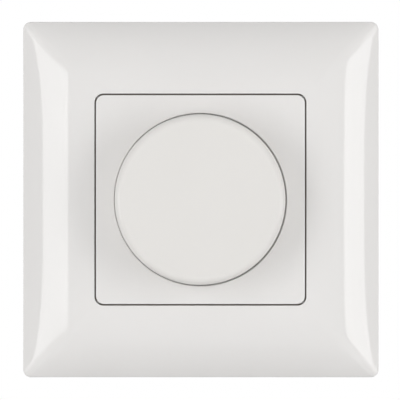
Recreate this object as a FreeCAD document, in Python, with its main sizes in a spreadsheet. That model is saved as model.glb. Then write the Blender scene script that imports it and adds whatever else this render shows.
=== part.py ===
"""A flush-mounted rotary dimmer for a wall box with two screws 60 mm apart.

Millimetres. X is right, Z is up and Y goes into the wall. The origin is the middle of the
support plate's back face, which lies on the wall, so what shows in the room has negative Y.
"""
import FreeCAD, Part
import math
import os
import Sketcher

# Driving sizes, each set by itself
SIZES = [
    ("frame_width", 85.0), ("frame_depth", 9.6), ("frame_wall", 2.0), ("frame_corner", 1.9),
    ("rim_round", 1.0), ("flat_margin", 0.75), ("flank_drop", 7.0), ("frame_edge_bevel", 0.25),
    ("rib_thick", 1.2), ("rib_reach", 3.2), ("rib_pitch", 16.9), ("collar_gap", 1.4),
    ("plate_width", 50.0), ("plate_corner", 1.9), ("plate_stand", 0.1), ("plate_gap", 0.25),
    ("plate_wall", 1.6), ("plate_edge_bevel", 0.25), ("plate_side_depth", 5.2),
    ("flange_reach", 1.5), ("flange_thick", 1.6), ("flange_gap", 0.3),
    ("recess_clear", 0.3), ("recess_gap", 0.25),
    ("knob_radius", 20.5), ("knob_height", 9.9), ("knob_sink", 0.6), ("knob_wall", 1.8),
    ("knob_face", 2.0), ("knob_round", 1.2), ("knob_draft", 0.15), ("hub_radius", 5.0),
    ("knob_rib_thick", 1.2), ("knob_rib_height", 3.0), ("push_travel", 1.5),
    ("shaft_radius", 3.0), ("shaft_bevel", 0.5), ("shaft_flat", 1.6), ("key_flat", 2.3),
    ("clip_thick", 0.3), ("clip_width", 3.2), ("shaft_tip_gap", 0.2),
    ("bush_radius", 5.0), ("bush_bevel", 0.5), ("bush_lead", 0.3), ("bush_flange_radius", 6.5),
    ("bush_flange_thick", 1.0), ("running_gap", 0.05), ("seat_gap", 0.1),
    ("nut_radius", 8.0), ("nut_thick", 2.6), ("nut_bevel", 0.5), ("nut_notch", 2.0),
    ("nut_notch_depth", 1.6),
    ("hexagon_width", 14.0), ("hexagon_thick", 2.0), ("sleeve_wall", 1.8), ("sleeve_gap", 0.6),
    ("support_gap", 5.0), ("support_thick", 1.0), ("support_corner", 3.0),
    ("box_screw_spacing", 60.0), ("box_slot_width", 4.2), ("box_slot_length", 8.0),
    ("clip_window", 5.0), ("clip_window_inset", 7.0), ("edge_notch_width", 12.0),
    ("edge_notch_depth", 2.0),
    ("housing_width", 39.0), ("housing_height", 47.0), ("housing_corner_cut", 3.5),
    ("housing_bevel", 0.8), ("floor_gap", 0.5), ("housing_wall", 1.5), ("lid_thick", 1.5), ("lid_lip", 2.0),
    ("case_radius", 8.5), ("case_depth", 6.5), ("case_wall", 1.0),
    ("rotor_thick", 1.8), ("rotor_clear", 2.1), ("finger_seat", 0.9), ("stop_reach", 1.8),
    ("stop_half_angle", 18.0), ("lug_half_angle", 20.0), ("turn_range", 280.0),
    ("track_thick", 1.2), ("finger_width", 1.6), ("finger_thick", 0.3), ("finger_bend", 0.4),
    ("switch_width", 14.0), ("switch_depth", 7.6), ("switch_wall", 1.0),
    ("plunger_radius", 3.6), ("plunger_thick", 1.0), ("spring_wire", 0.3), ("spring_radius", 2.6),
    ("spring_turns", 3.0), ("spring_steps", 12), ("blade_width", 2.0), ("blade_thick", 0.4),
    ("board_thick", 1.6), ("board_gap", 0.3),
    ("core_outer", 6.0), ("core_inner", 3.4), ("core_height", 5.0), ("core_inset", 8.7),
    ("top_inset", 8.9), ("winding_wire", 0.7), ("winding_count", 16),
    ("film_clear", 2.75), ("film_height", 6.4), ("film_depth", 10.0), ("film_gap", 0.6),
    ("capacitor_round", 0.5),
    ("timing_width", 4.0), ("timing_height", 7.2), ("timing_depth", 7.0),
    ("timing_inset", 2.5), ("timing_z", 5.2), ("resistor_radius", 1.2), ("resistor_length", 6.4),
    ("resistor_inset", 5.1), ("resistor_pitch", 3.4), ("lead_radius", 0.3), ("lead_reach", 0.9),
    ("triac_width", 10.0), ("triac_body", 8.6), ("triac_tab", 6.0), ("triac_thick", 4.4),
    ("triac_tab_thick", 1.3), ("triac_gap", 0.2), ("triac_rise", 11.3), ("leg_width", 0.8),
    ("leg_thick", 0.5), ("leg_pitch", 2.54), ("leg_reach", 1.2), ("rivet_radius", 1.4),
    ("rivet_head", 2.4), ("rivet_head_thick", 0.8),
    ("fuse_radius", 2.6), ("fuse_side_gap", 4.8), ("fuse_cap", 5.0), ("fuse_end_gap", 1.0),
    ("fuse_cap_thick", 0.2), ("fuse_drop", 1.3), ("fuse_clip_thick", 0.4),
    ("fuse_clip_width", 4.2), ("fuse_clip_lip", 1.0),
    ("terminal_pitch", 8.0), ("terminal_width", 6.4), ("terminal_wall", 1.0),
    ("terminal_length", 4.6), ("terminal_rise", 6.3), ("terminal_screw_radius", 1.5),
    ("terminal_head_radius", 2.3), ("terminal_head_thick", 1.6), ("terminal_screw_bite", 0.6),
    ("wire_entry_radius", 1.9),
    ("housing_screw_radius", 1.1), ("housing_screw_head", 2.1), ("housing_screw_head_thick", 1.3),
    ("housing_screw_drop", 8.1), ("housing_screw_bite", 6.0), ("screw_hole_spare", 1.0),
    ("post_radius", 1.9), ("screw_hole_gap", 0.2),
    ("claw_z", 7.0), ("claw_width", 10.0), ("claw_thick", 1.2), ("claw_reach", 17.4),
    ("claw_clear", 0.5), ("claw_pivot_y", 1.9), ("claw_barrel", 1.2), ("claw_ear", 0.8),
    ("claw_side_gap", 0.3), ("lug_thick", 1.0), ("tongue_width", 6.0), ("tongue_reach", 5.8),
    ("tongue_y", 4.0), ("tongue_slot_start", 0.2), ("tongue_slot_end", 0.3),
    ("tooth_reach", 3.6), ("tooth_slope", 1.0), ("claw_lever", 3.4), ("claw_screw_radius", 1.5),
    ("claw_screw_length", 10.5), ("claw_tip_bevel", 0.5), ("claw_head_radius", 2.75),
    ("claw_head_thick", 1.9), ("claw_head_bevel", 0.5), ("driver_slot", 0.8),
    ("driver_depth", 0.9), ("claw_hole_gap", 0.25), ("cut_over", 1.0),
]

# Levels and radii that follow from the driving sizes
PLACES = [
    ("frame_half", "size.frame_width / 2"),
    ("plate_half", "size.plate_width / 2"),
    ("opening_half", "place.plate_half + size.plate_gap"),
    ("frame_flat", "place.opening_half + size.flat_margin"),
    ("flank_width", "place.frame_half - place.frame_flat"),
    ("flank_radius", "(place.flank_width^2 + size.flank_drop^2) / (2 * size.flank_drop)"),
    ("rim_top", "-(size.frame_depth - size.flank_drop)"),
    ("inner_half", "place.frame_half - size.frame_wall"),
    ("inner_radius", "place.flank_radius - size.frame_wall"),
    ("inner_top", "-(size.frame_depth - size.frame_wall)"),
    ("inner_rim", "-size.frame_depth + place.flank_radius"
                  " - sqrt(place.inner_radius^2 - (place.inner_half - place.frame_flat)^2)"),
    ("opening_corner", "size.plate_corner + size.plate_gap"),
    ("plate_front", "-(size.frame_depth + size.plate_stand)"),
    ("flange_half", "place.opening_half + size.flange_reach"),
    ("flange_front", "place.inner_top + size.flange_gap"),
    ("flange_back", "place.flange_front + size.flange_thick"),
    ("collar_half", "place.flange_half + size.collar_gap"),
    ("plate_side_back", "place.plate_front + size.plate_side_depth"),
    ("recess_radius", "size.knob_radius + size.recess_gap"),
    ("recess_floor", "place.plate_front + size.knob_sink + size.push_travel"
                     " + size.recess_clear"),
    ("floor_back", "place.recess_floor + size.plate_wall"),
    ("knob_rim", "place.plate_front + size.knob_sink"),
    ("knob_front", "place.knob_rim - size.knob_height"),
    ("knob_inside", "place.knob_front + size.knob_face"),
    ("bush_front", "place.recess_floor - size.nut_thick - size.bush_lead"),
    ("hub_back", "place.bush_front - size.push_travel - size.clip_thick - 4 * size.seat_gap"),
    ("bush_bore", "size.shaft_radius + size.running_gap"),
    ("bush_hole", "size.bush_radius + size.seat_gap"),
    ("support_front", "-size.support_thick"),
    ("sleeve_bore", "size.hexagon_width / (2 * cos(30)) + size.sleeve_gap"),
    ("lid_back", "size.lid_thick"),
    ("case_front", "place.lid_back"),
    ("case_back", "place.case_front + size.case_depth"),
    ("case_bore", "size.case_radius - size.case_wall"),
    ("rotor_radius", "place.case_bore - size.rotor_clear"),
    ("rotor_hub_radius", "place.rotor_radius - size.finger_seat"),
    ("rotor_front", "place.case_front + size.bush_flange_thick + 3 * size.seat_gap"),
    ("rotor_back", "place.rotor_front + size.rotor_thick"),
    ("track_front", "place.case_back - size.track_thick"),
    ("key_half", "size.key_flat + size.running_gap"),
    ("switch_front", "place.case_back"),
    ("switch_back", "place.switch_front + size.switch_depth"),
    ("switch_half", "size.switch_width / 2"),
    ("plunger_front", "place.switch_front + size.switch_wall + 2 * size.seat_gap"),
    ("plunger_back", "place.plunger_front + size.plunger_thick"),
    ("shaft_back", "place.plunger_front - size.shaft_tip_gap"),
    ("spring_back", "place.switch_back - size.switch_wall"),
    ("board_front", "place.switch_back"),
    ("board_back", "place.board_front + size.board_thick"),
    ("housing_half_x", "size.housing_width / 2"),
    ("housing_half_z", "size.housing_height / 2"),
    ("housing_radius", "sqrt(place.housing_half_x^2 + place.housing_half_z^2)"
                       " - size.housing_corner_cut"),
    ("board_half_x", "place.housing_half_x - size.housing_wall - size.board_gap"),
    ("housing_screw_x", "place.housing_half_x - size.housing_wall - size.post_radius"
                        " - size.seat_gap"),
    ("housing_screw_z", "place.housing_half_z - size.housing_screw_drop"),
    ("top_z", "place.housing_half_z - size.top_inset"),
    ("core_x", "size.core_inset - place.board_half_x"),
    ("film_right", "place.housing_screw_x - size.post_radius - size.film_gap"),
    ("film_width", "place.film_right - (place.core_x + size.core_outer + size.winding_wire"
                   " + size.running_gap + size.film_clear)"),
    ("film_x", "place.film_right - place.film_width / 2"),
    ("timing_x", "place.board_half_x - size.timing_inset - size.timing_width / 2"),
    ("resistor_x", "size.resistor_inset - place.board_half_x"),
    ("triac_x", "place.housing_half_x - size.housing_wall - size.triac_gap"
                " - size.triac_width / 2"),
    ("triac_z", "size.triac_rise - place.housing_half_z"),
    ("fuse_right", "place.triac_x - size.triac_width / 2 - size.fuse_end_gap"),
    ("fuse_length", "place.fuse_right + place.housing_half_x - size.housing_wall"
                    " - size.fuse_side_gap"),
    ("fuse_x", "place.fuse_right - place.fuse_length / 2"),
    ("fuse_z", "-(size.case_radius + size.fuse_drop + size.fuse_radius)"),
    ("terminal_z", "size.terminal_rise - place.housing_half_z"),
    ("claw_pivot_x", "place.housing_half_x + size.claw_clear + size.claw_barrel"),
    ("claw_screw_x", "place.claw_pivot_x + size.claw_lever"),
    ("terminal_half", "size.terminal_width / 2"),
    ("block_half", "size.terminal_pitch + place.terminal_half + size.terminal_wall"),
    ("block_low", "place.terminal_z - place.terminal_half - size.terminal_wall"),
    ("block_high", "place.terminal_z + place.terminal_half + size.terminal_wall"),
    ("block_back", "place.board_back + size.terminal_wall + size.terminal_length"),
    ("housing_floor", "place.block_back + size.floor_gap"),
    ("housing_back", "place.housing_floor + size.housing_wall"),
    ("clamp_front", "place.board_back + size.terminal_wall"),
    ("terminal_screw_y", "place.clamp_front + size.terminal_length / 2"),
    ("slot_half", "size.box_slot_length / 2 - size.box_slot_width / 2"),
    ("slot_radius", "size.box_slot_width / 2"),
    ("slot_centre", "size.box_screw_spacing / 2"),
    ("support_half", "place.inner_half - size.support_gap"),
    ("clip_window_place", "place.support_half - size.clip_window_inset"),
    ("ear_hole", "size.claw_ear + size.running_gap"),
    ("lug_inner", "size.claw_width / 2 + size.claw_side_gap"),
    ("lug_outer", "place.lug_inner + size.lug_thick"),
    ("fuse_y", "place.board_front - size.fuse_radius - 2 * size.fuse_clip_thick"),
]

document = FreeCAD.newDocument("rotary_dimmer")
subparts = []


def fill_sheet(name, rows):
    """A sheet with one named cell for each row."""
    sheet = document.addObject("Spreadsheet::Sheet", name)
    for number, (alias, content) in enumerate(rows, start=1):
        text = f"={content}" if isinstance(content, str) else str(content)
        sheet.set(f"A{number}", alias)
        sheet.set(f"B{number}", text)
        sheet.setAlias(f"B{number}", alias)
    document.recompute()
    return sheet


size_sheet = fill_sheet("size", SIZES)
place_sheet = fill_sheet("place", PLACES)


def worked(formula):
    """The number that a formula on the two sheets gives, in millimetres or degrees."""
    answer = place_sheet.evalExpression(formula)
    return float(getattr(answer, "Value", answer))


def bind(thing, **formulas):
    """Bind properties to formulas; a double underscore stands for the dot in a path."""
    for path, formula in formulas.items():
        thing.setExpression(path.replace("__", "."), formula)


def keep(thing, label):
    """Name a finished sub-part."""
    thing.Label = label
    subparts.append(thing)
    return thing


def fix_point(sketch, geometry, point, across, up):
    """Fix one point of a sketch to two formulas."""
    for kind, formula in (("DistanceX", across), ("DistanceY", up)):
        number = sketch.addConstraint(
            Sketcher.Constraint(kind, -1, 1, geometry, point, worked(formula)))
        sketch.setExpression(f"Constraints[{number}]", formula)


def fix_radius(sketch, geometry, radius):
    number = sketch.addConstraint(Sketcher.Constraint("Radius", geometry, worked(radius)))
    sketch.setExpression(f"Constraints[{number}]", radius)


def draw_outline(sketch, stations, closed=True):
    """An outline, closed or open. A station is (across, up) where a line starts, or
    (across, up, bend) where an arc starts, with bend = (centre across, centre up, radius)."""
    spots = [FreeCAD.Vector(worked(row[0]), worked(row[1]), 0) for row in stations]
    ends = []
    for number, row in enumerate(stations if closed else stations[:-1]):
        here = spots[number]
        there = spots[(number + 1) % len(spots)]
        if len(row) == 2:
            geometry = sketch.addGeometry(Part.LineSegment(here, there), False)
            ends.append((geometry, 1, 2))
            continue
        centre = FreeCAD.Vector(worked(row[2][0]), worked(row[2][1]), 0)
        start = math.atan2(here.y - centre.y, here.x - centre.x)
        stop = math.atan2(there.y - centre.y, there.x - centre.x)
        turn = (stop - start + math.pi) % (2 * math.pi) - math.pi
        circle = Part.Circle(centre, FreeCAD.Vector(0, 0, 1), worked(row[2][2]))
        first, last = (start, start + turn) if turn > 0 else (start + turn, start)
        geometry = sketch.addGeometry(Part.ArcOfCircle(circle, first, last), False)
        ends.append((geometry, 1, 2) if turn > 0 else (geometry, 2, 1))
    for number, (geometry, begin, _) in enumerate(ends):
        before, _, finish = ends[number - 1]
        if closed or number > 0:
            sketch.addConstraint(
                Sketcher.Constraint("Coincident", before, finish, geometry, begin))
        fix_point(sketch, geometry, begin, *stations[number][:2])
        if len(stations[number]) == 3:
            fix_radius(sketch, geometry, stations[number][2][2])
    if not closed:
        geometry, _, finish = ends[-1]
        fix_point(sketch, geometry, finish, *stations[-1][:2])


def draw_circle(sketch, across, up, radius):
    centre = FreeCAD.Vector(worked(across), worked(up), 0)
    circle = Part.Circle(centre, FreeCAD.Vector(0, 0, 1), worked(radius))
    geometry = sketch.addGeometry(circle, False)
    fix_point(sketch, geometry, 3, across, up)
    fix_radius(sketch, geometry, radius)


def rectangle(left, right, low, high):
    return [(left, low), (right, low), (right, high), (left, high)]


def rounded_rectangle(half_x, half_z, radius, middle_x="0", middle_z="0"):
    """Stations of a rectangle with round corners, seen from the front."""
    stations = []
    for side_x, side_z, first in ((1, -1, "z"), (1, 1, "x"), (-1, 1, "z"), (-1, -1, "x")):
        edge_x = f"{middle_x} + {side_x} * ({half_x})"
        edge_z = f"{middle_z} + {side_z} * ({half_z})"
        centre_x = f"{middle_x} + {side_x} * ({half_x} - {radius})"
        centre_z = f"{middle_z} + {side_z} * ({half_z} - {radius})"
        bend = (centre_x, centre_z, radius)
        if first == "z":
            stations += [(centre_x, edge_z, bend), (edge_x, centre_z)]
        else:
            stations += [(edge_x, centre_z, bend), (centre_x, edge_z)]
    return stations


def slot_outline(across, up, half_x, half_z, radius):
    """Stations of a slot with round ends, along X if half_x is set, or else along Z."""
    if half_z == "0":
        left, right = f"{across} - {half_x}", f"{across} + {half_x}"
        low, high = f"{up} - {radius}", f"{up} + {radius}"
        return [(left, low), (right, low, (right, up, radius)),
                (f"{right} + {radius}", up, (right, up, radius)),
                (right, high), (left, high, (left, up, radius)),
                (f"{left} - {radius}", up, (left, up, radius))]
    low, high = f"{up} - {half_z}", f"{up} + {half_z}"
    left, right = f"{across} - {radius}", f"{across} + {radius}"
    return [(right, low), (right, high, (across, high, radius)),
            (across, f"{high} + {radius}", (across, high, radius)),
            (left, high), (left, low, (across, low, radius)),
            (across, f"{low} - {radius}", (across, low, radius))]


class Piece:
    """One body, built up from sketches that are bound to the sheets."""

    def __init__(self, label, separate=False):
        self.body = document.addObject("PartDesign::Body", label)
        self.body.AllowCompound = separate
        self.label = label

    def sketch(self, role, level, outlines=(), circles=(), closed=True):
        """A sketch on one of the body's own planes. Seen from the front for XZ_Plane, where
        level is the depth Y; on XY_Plane it is the height Z, and on YZ_Plane it is X."""
        sketch = self.body.newObject("Sketcher::SketchObject", f"{self.label}_sketch")
        plane = [item for item in self.body.Origin.OriginFeatures if item.Role == role][0]
        sketch.AttachmentSupport = (plane, [""])
        sketch.MapMode = "FlatFace"
        offset = f"-({level})" if role == "XZ_Plane" else level
        bind(sketch, AttachmentOffset__Base__z=offset)
        for stations in outlines:
            draw_outline(sketch, stations, closed)
        for row in circles:
            draw_circle(sketch, *row)
        document.recompute()
        return sketch

    def feature(self, kind, sketch, length, **settings):
        feature = self.body.newObject(f"PartDesign::{kind}", f"{self.label}_{kind.lower()}")
        feature.Profile = sketch
        for name, value in settings.items():
            setattr(feature, name, value)
        if length is not None:
            bind(feature, Length=length)
        document.recompute()
        return feature

    def slab(self, front, back, outlines=(), circles=()):
        """Add what the outlines enclose, from depth front to depth back."""
        sketch = self.sketch("XZ_Plane", back, outlines, circles)
        return self.feature("Pad", sketch, f"{back} - ({front})")

    def cut(self, front, back, outlines=(), circles=()):
        """Take away what the outlines enclose, from depth front to depth back."""
        sketch = self.sketch("XZ_Plane", front, outlines, circles)
        return self.checked(self.feature, "Pocket", sketch, f"{back} - ({front})")

    def checked(self, action, *arguments, **settings):
        """Run a cut and be sure that it took something away."""
        before = self.body.Shape.Volume
        feature = action(*arguments, **settings)
        if not self.body.Shape.Volume < before - 1e-4:
            raise RuntimeError(f"{feature.Label} cuts nothing")
        return feature

    def bar(self, role, level, width, outlines=(), circles=()):
        """Add a bar that is centred on a plane across the body."""
        sketch = self.sketch(role, level, outlines, circles)
        return self.feature("Pad", sketch, width, Midplane=True)

    def cut_bar(self, role, level, width, outlines=(), circles=()):
        """Take a centred bar away."""
        sketch = self.sketch(role, level, outlines, circles)
        return self.checked(self.feature, "Pocket", sketch, width, Midplane=True)

    def turned(self, outlines):
        """Add a ring round the Y axis; across is the radius and up is the depth."""
        sketch = self.sketch("XY_Plane", "0", outlines)
        return self.feature("Revolution", sketch, None,
                            ReferenceAxis=(sketch, ["V_Axis"]), Angle=360.0)

    def wire(self, level, front, circle, path):
        """Add a round wire with mitred bends, across a YZ plane: the circle at depth front is
        carried along the path."""
        section = self.sketch("XZ_Plane", front, circles=[circle])
        spine = self.sketch("YZ_Plane", level, [path], closed=False)
        runs = [f"Edge{number + 1}" for number in range(len(path) - 1)]
        return self.feature("AdditivePipe", section, None, Spine=(spine, runs),
                            Transition="Right corner")

    def round_turns(self, features, count):
        """Repeat features round the Y axis."""
        pattern = self.body.newObject("PartDesign::PolarPattern", f"{self.label}_round")
        pattern.Originals = features
        axis = [item for item in self.body.Origin.OriginFeatures if item.Role == "Y_Axis"][0]
        pattern.Axis = (axis, [""])
        pattern.Angle = 360.0
        pattern.Occurrences = count
        self.body.Tip = pattern
        document.recompute()
        return pattern

    def in_line(self, features, count, pitch):
        """Repeat features along X, from the first one to the right."""
        pattern = self.body.newObject("PartDesign::LinearPattern", f"{self.label}_line")
        pattern.Originals = features
        axis = [item for item in self.body.Origin.OriginFeatures if item.Role == "X_Axis"][0]
        pattern.Direction = (axis, [""])
        bind(pattern, Length=f"({count} - 1) * {pitch}")
        pattern.Occurrences = count
        self.body.Tip = pattern
        document.recompute()
        return pattern

    def soften(self, radius, wanted, kind="Fillet"):
        """Round or bevel the edges that a test picks out."""
        base = self.body.Tip
        names = [f"Edge{number}" for number, edge in enumerate(base.Shape.Edges, start=1)
                 if wanted(edge)]
        feature = self.body.newObject(f"PartDesign::{kind}", f"{self.label}_{kind.lower()}")
        feature.Base = (base, names)
        bind(feature, **{"Radius" if kind == "Fillet" else "Size": radius})
        document.recompute()
        return feature

    def finish(self, x="0", y="0", z="0"):
        """Put the body where it belongs and keep it."""
        bind(self.body, Placement__Base__x=x, Placement__Base__y=y, Placement__Base__z=z)
        return keep(self.body, self.label)


def at_depth(edge, level):
    """Does an edge lie wholly at one depth?"""
    box = edge.BoundBox
    return abs(box.YMin - level) < 1e-3 and abs(box.YMax - level) < 1e-3


def reach(edge):
    """How far an edge reaches from the Y axis, along X or along Z."""
    box = edge.BoundBox
    return max(-box.XMin, box.XMax, -box.ZMin, box.ZMax)


def extruded(name, sketch, length):
    """A prism to both sides of a sketch's plane."""
    prism = document.addObject("Part::Extrusion", name)
    prism.Base = sketch
    prism.DirMode = "Normal"
    prism.Symmetric = True
    prism.Solid = True
    bind(prism, LengthFwd=length)
    return prism


def cushion(name, half, rim, top, radius):
    """What two crossed profiles with arched flanks have in common: flat on top, rounded down
    to a straight rim on all four sides, and mitred at the corners."""
    flat = "place.frame_flat"
    centre_up = f"{top} + {radius}"
    stations = [(f"-{half}", "0"),
                (f"-{half}", rim, (f"-{flat}", centre_up, radius)),
                (f"-{flat}", top),
                (flat, top, (flat, centre_up, radius)),
                (half, rim),
                (half, "0")]
    prisms = []
    for side, angle in (("level", 0), ("upright", -90)):
        sketch = document.addObject("Sketcher::SketchObject", f"{name}_{side}_profile")
        sketch.Placement = FreeCAD.Placement(
            FreeCAD.Vector(0, 0, 0), FreeCAD.Rotation(FreeCAD.Vector(0, 1, 0), angle))
        draw_outline(sketch, stations)
        prisms.append(extruded(f"{name}_{side}_prism", sketch, f"2 * {half}"))
    shared = document.addObject("Part::MultiCommon", name)
    shared.Shapes = prisms
    document.recompute()
    return shared


def front_prism(name, stations_list, front, back):
    """A prism between two depths, from outlines seen from the front."""
    sketch = document.addObject("Sketcher::SketchObject", f"{name}_sketch")
    turn = FreeCAD.Rotation(FreeCAD.Vector(1, 0, 0), 90)
    sketch.Placement = FreeCAD.Placement(FreeCAD.Vector(0, 0, 0), turn)
    bind(sketch, Placement__Base__y=back)
    for stations in stations_list:
        draw_outline(sketch, stations)
    prism = document.addObject("Part::Extrusion", name)
    prism.Base = sketch
    prism.DirMode = "Custom"
    prism.Dir = FreeCAD.Vector(0, -1, 0)
    prism.Solid = True
    bind(prism, LengthFwd=f"{back} - ({front})")
    document.recompute()
    return prism


def make_cover_frame():
    """A thin moulding: an arched cushion outside, the same form one wall smaller inside, an
    opening with a collar behind it, and ribs from the collar to the rim."""
    outer = cushion("frame_cushion", "place.frame_half", "place.rim_top",
                    "-size.frame_depth", "place.flank_radius")
    hollow = cushion("frame_hollow", "place.inner_half", "place.inner_rim",
                     "place.inner_top", "place.inner_radius")
    rim = worked("place.rim_top")
    corner = worked("size.frame_corner")
    rim_round = worked("size.rim_round")
    rounds = []
    for number, edge in enumerate(outer.Shape.Edges, start=1):
        box = edge.BoundBox
        mitre = min(box.XLength, box.ZLength) > corner
        upright = max(box.XLength, box.ZLength) < corner
        if mitre or upright:
            rounds.append((number, corner, corner))
        elif at_depth(edge, rim):
            rounds.append((number, rim_round, rim_round))
    moulding = document.addObject("Part::Fillet", "frame_moulding")
    moulding.Base = outer
    moulding.Edges = rounds
    skin = document.addObject("Part::Cut", "frame_skin")
    skin.Base = moulding
    skin.Tool = hollow

    def collar_part(name, half_inner, half_outer, front, back):
        return front_prism(name, [
            rounded_rectangle(half_outer, half_outer, "size.plate_corner"),
            rounded_rectangle(half_inner, half_inner, "size.plate_corner")], front, back)

    collar = collar_part("frame_collar", "place.collar_half",
                         "place.collar_half + size.rib_thick", "place.inner_top",
                         "place.inner_top + size.rib_reach")
    ribs = []
    rib_start = "place.collar_half + size.rib_thick"
    rib_end = "place.inner_half"
    back = "place.inner_top + size.rib_reach"
    for number, step in enumerate((-1, 0, 1)):
        low = f"{step} * size.rib_pitch - size.rib_thick / 2"
        high = f"{step} * size.rib_pitch + size.rib_thick / 2"
        for name, stations in (
                ("right", rectangle(rib_start, rib_end, low, high)),
                ("left", rectangle(f"-{rib_end}", f"-({rib_start})", low, high)),
                ("top", rectangle(low, high, rib_start, rib_end)),
                ("bottom", rectangle(low, high, f"-{rib_end}", f"-({rib_start})"))):
            ribs.append(front_prism(f"frame_rib_{name}_{number}", [stations],
                                    "-size.frame_depth", back))
    inside = document.addObject("Part::MultiFuse", "frame_ribs")
    inside.Shapes = [collar] + ribs
    trimmed = document.addObject("Part::MultiCommon", "frame_ribs_trimmed")
    trimmed.Shapes = [inside, hollow]
    whole = document.addObject("Part::MultiFuse", "frame_whole")
    whole.Shapes = [skin, trimmed]
    whole.Refine = True
    opening = front_prism("frame_opening",
                          [rounded_rectangle("place.opening_half", "place.opening_half",
                                             "place.opening_corner")],
                          "-2 * size.frame_depth", "0")
    cut = document.addObject("Part::Cut", "frame_open")
    cut.Base = whole
    cut.Tool = opening
    document.recompute()
    top = worked("-size.frame_depth")
    limit = worked("place.opening_half + size.flat_margin / 2")
    bevel = worked("size.frame_edge_bevel")
    bevelled = document.addObject("Part::Chamfer", "frame_bevelled")
    bevelled.Base = cut
    bevelled.Edges = [(number, bevel, bevel) for number, edge in enumerate(cut.Shape.Edges, start=1)
                      if at_depth(edge, top) and reach(edge) < limit]
    document.recompute()
    keep(bevelled, "cover_frame")


def make_centre_plate():
    """A square plate with a dished middle for the knob, a flange behind the frame's opening,
    and a sleeve that stands on the support plate round the hexagon nut."""
    piece = Piece("centre_plate")
    square = rounded_rectangle("place.plate_half", "place.plate_half", "size.plate_corner")
    flange = rounded_rectangle("place.flange_half", "place.flange_half", "size.plate_corner")
    piece.slab("place.plate_front", "place.plate_side_back", [square])
    piece.slab("place.flange_front", "place.flange_back", [flange])
    piece.cut("place.plate_front", "place.recess_floor",
              circles=[("0", "0", "place.recess_radius")])
    inner = rounded_rectangle("place.plate_half - size.plate_wall",
                              "place.plate_half - size.plate_wall", "size.plate_corner")
    piece.cut("place.floor_back", "place.plate_side_back", [inner])
    corner = "place.plate_half - size.plate_wall"
    near = "(place.recess_radius + size.plate_wall) / sqrt(2)"
    pockets = piece.cut("place.plate_front + size.plate_wall", "place.floor_back",
                        [[(corner, near), (corner, corner), (near, corner)]])
    piece.round_turns([pockets], 4)
    sleeve = "place.sleeve_bore"
    piece.slab("place.floor_back - size.plate_wall / 2", "place.support_front",
               circles=[("0", "0", sleeve), ("0", "0", f"{sleeve} + size.sleeve_wall")])
    piece.cut("place.recess_floor", "place.floor_back", circles=[("0", "0", "place.bush_hole")])
    front = worked("place.plate_front")
    limit = worked("place.plate_half - size.plate_corner / 2")
    piece.soften("size.plate_edge_bevel",
                 lambda edge: at_depth(edge, front) and reach(edge) > limit, "Chamfer")
    piece.finish()


def make_knob():
    """A hollow cap with a rounded front edge, a hub with a flat-sided bore, and ribs."""
    piece = Piece("knob")
    outer = "size.knob_radius"
    front_radius = "size.knob_radius - size.knob_draft"
    inner = "size.knob_radius - size.knob_wall"
    round_y = "place.knob_front + size.knob_round"
    round_x = f"{front_radius} - size.knob_round"
    piece.turned([[("0", "place.knob_front"), ("0", "place.knob_inside"),
                   (inner, "place.knob_inside"), (inner, "place.knob_rim"),
                   (outer, "place.knob_rim"),
                   (front_radius, round_y, (round_x, round_y, "size.knob_round")),
                   (round_x, "place.knob_front")]])
    piece.slab("place.knob_inside - size.knob_face / 2", "place.hub_back",
               circles=[("0", "0", "size.hub_radius")])
    rib = piece.slab("place.knob_inside - size.knob_face / 2",
                     "place.knob_inside + size.knob_rib_height",
                     [rectangle("size.hub_radius / 2", f"{inner} + size.knob_wall / 2",
                                "-size.knob_rib_thick / 2", "size.knob_rib_thick / 2")])
    piece.round_turns([rib], 8)
    bore = flat_bore("size.shaft_radius + size.running_gap",
                     "size.shaft_flat + size.clip_thick + 2 * size.running_gap")
    piece.cut("place.knob_inside", "place.hub_back", [bore])
    piece.finish()


def flat_bore(radius, flat):
    """Stations of a circle with one flat on top."""
    half = f"sqrt(({radius})^2 - ({flat})^2)"
    bend = ("0", "0", radius)
    return [(f"-{half}", flat), (half, flat, bend), ("0", f"-({radius})", bend)]


def make_knob_clip():
    """A bent steel leaf between the shaft's flat and the hub, hooked over the hub's end."""
    piece = Piece("knob_clip")
    low = "size.shaft_flat + size.running_gap"
    high = f"{low} + size.clip_thick"
    end = "place.hub_back + size.running_gap"
    hook = "size.hub_radius"
    piece.bar("YZ_Plane", "0", "size.clip_width", [
        [("place.knob_inside + size.seat_gap", low),
         (f"{end} + size.clip_thick", low),
         (f"{end} + size.clip_thick", hook),
         (end, hook),
         (end, high),
         ("place.knob_inside + size.seat_gap", high)]])
    piece.finish()


def make_shaft():
    """A round shaft with a flat for the knob and two flats that key it to the rotor."""
    piece = Piece("shaft")
    bevel = "size.shaft_bevel"
    piece.turned([[("0", "place.knob_inside"),
                   (f"size.shaft_radius - {bevel}", "place.knob_inside"),
                   ("size.shaft_radius", f"place.knob_inside + {bevel}"),
                   ("size.shaft_radius", "place.shaft_back"),
                   ("0", "place.shaft_back")]])
    far = "2 * size.shaft_radius"
    piece.cut("place.knob_inside", "place.hub_back + size.push_travel",
              [rectangle(f"-{far}", far, "size.shaft_flat", far)])
    flats = "place.rotor_front - 2 * size.seat_gap - size.push_travel"
    piece.cut(flats, "place.shaft_back", [rectangle("size.key_flat", far, f"-{far}", far),
                                          rectangle(f"-{far}", "-size.key_flat", f"-{far}", far)])
    piece.finish()


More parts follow.
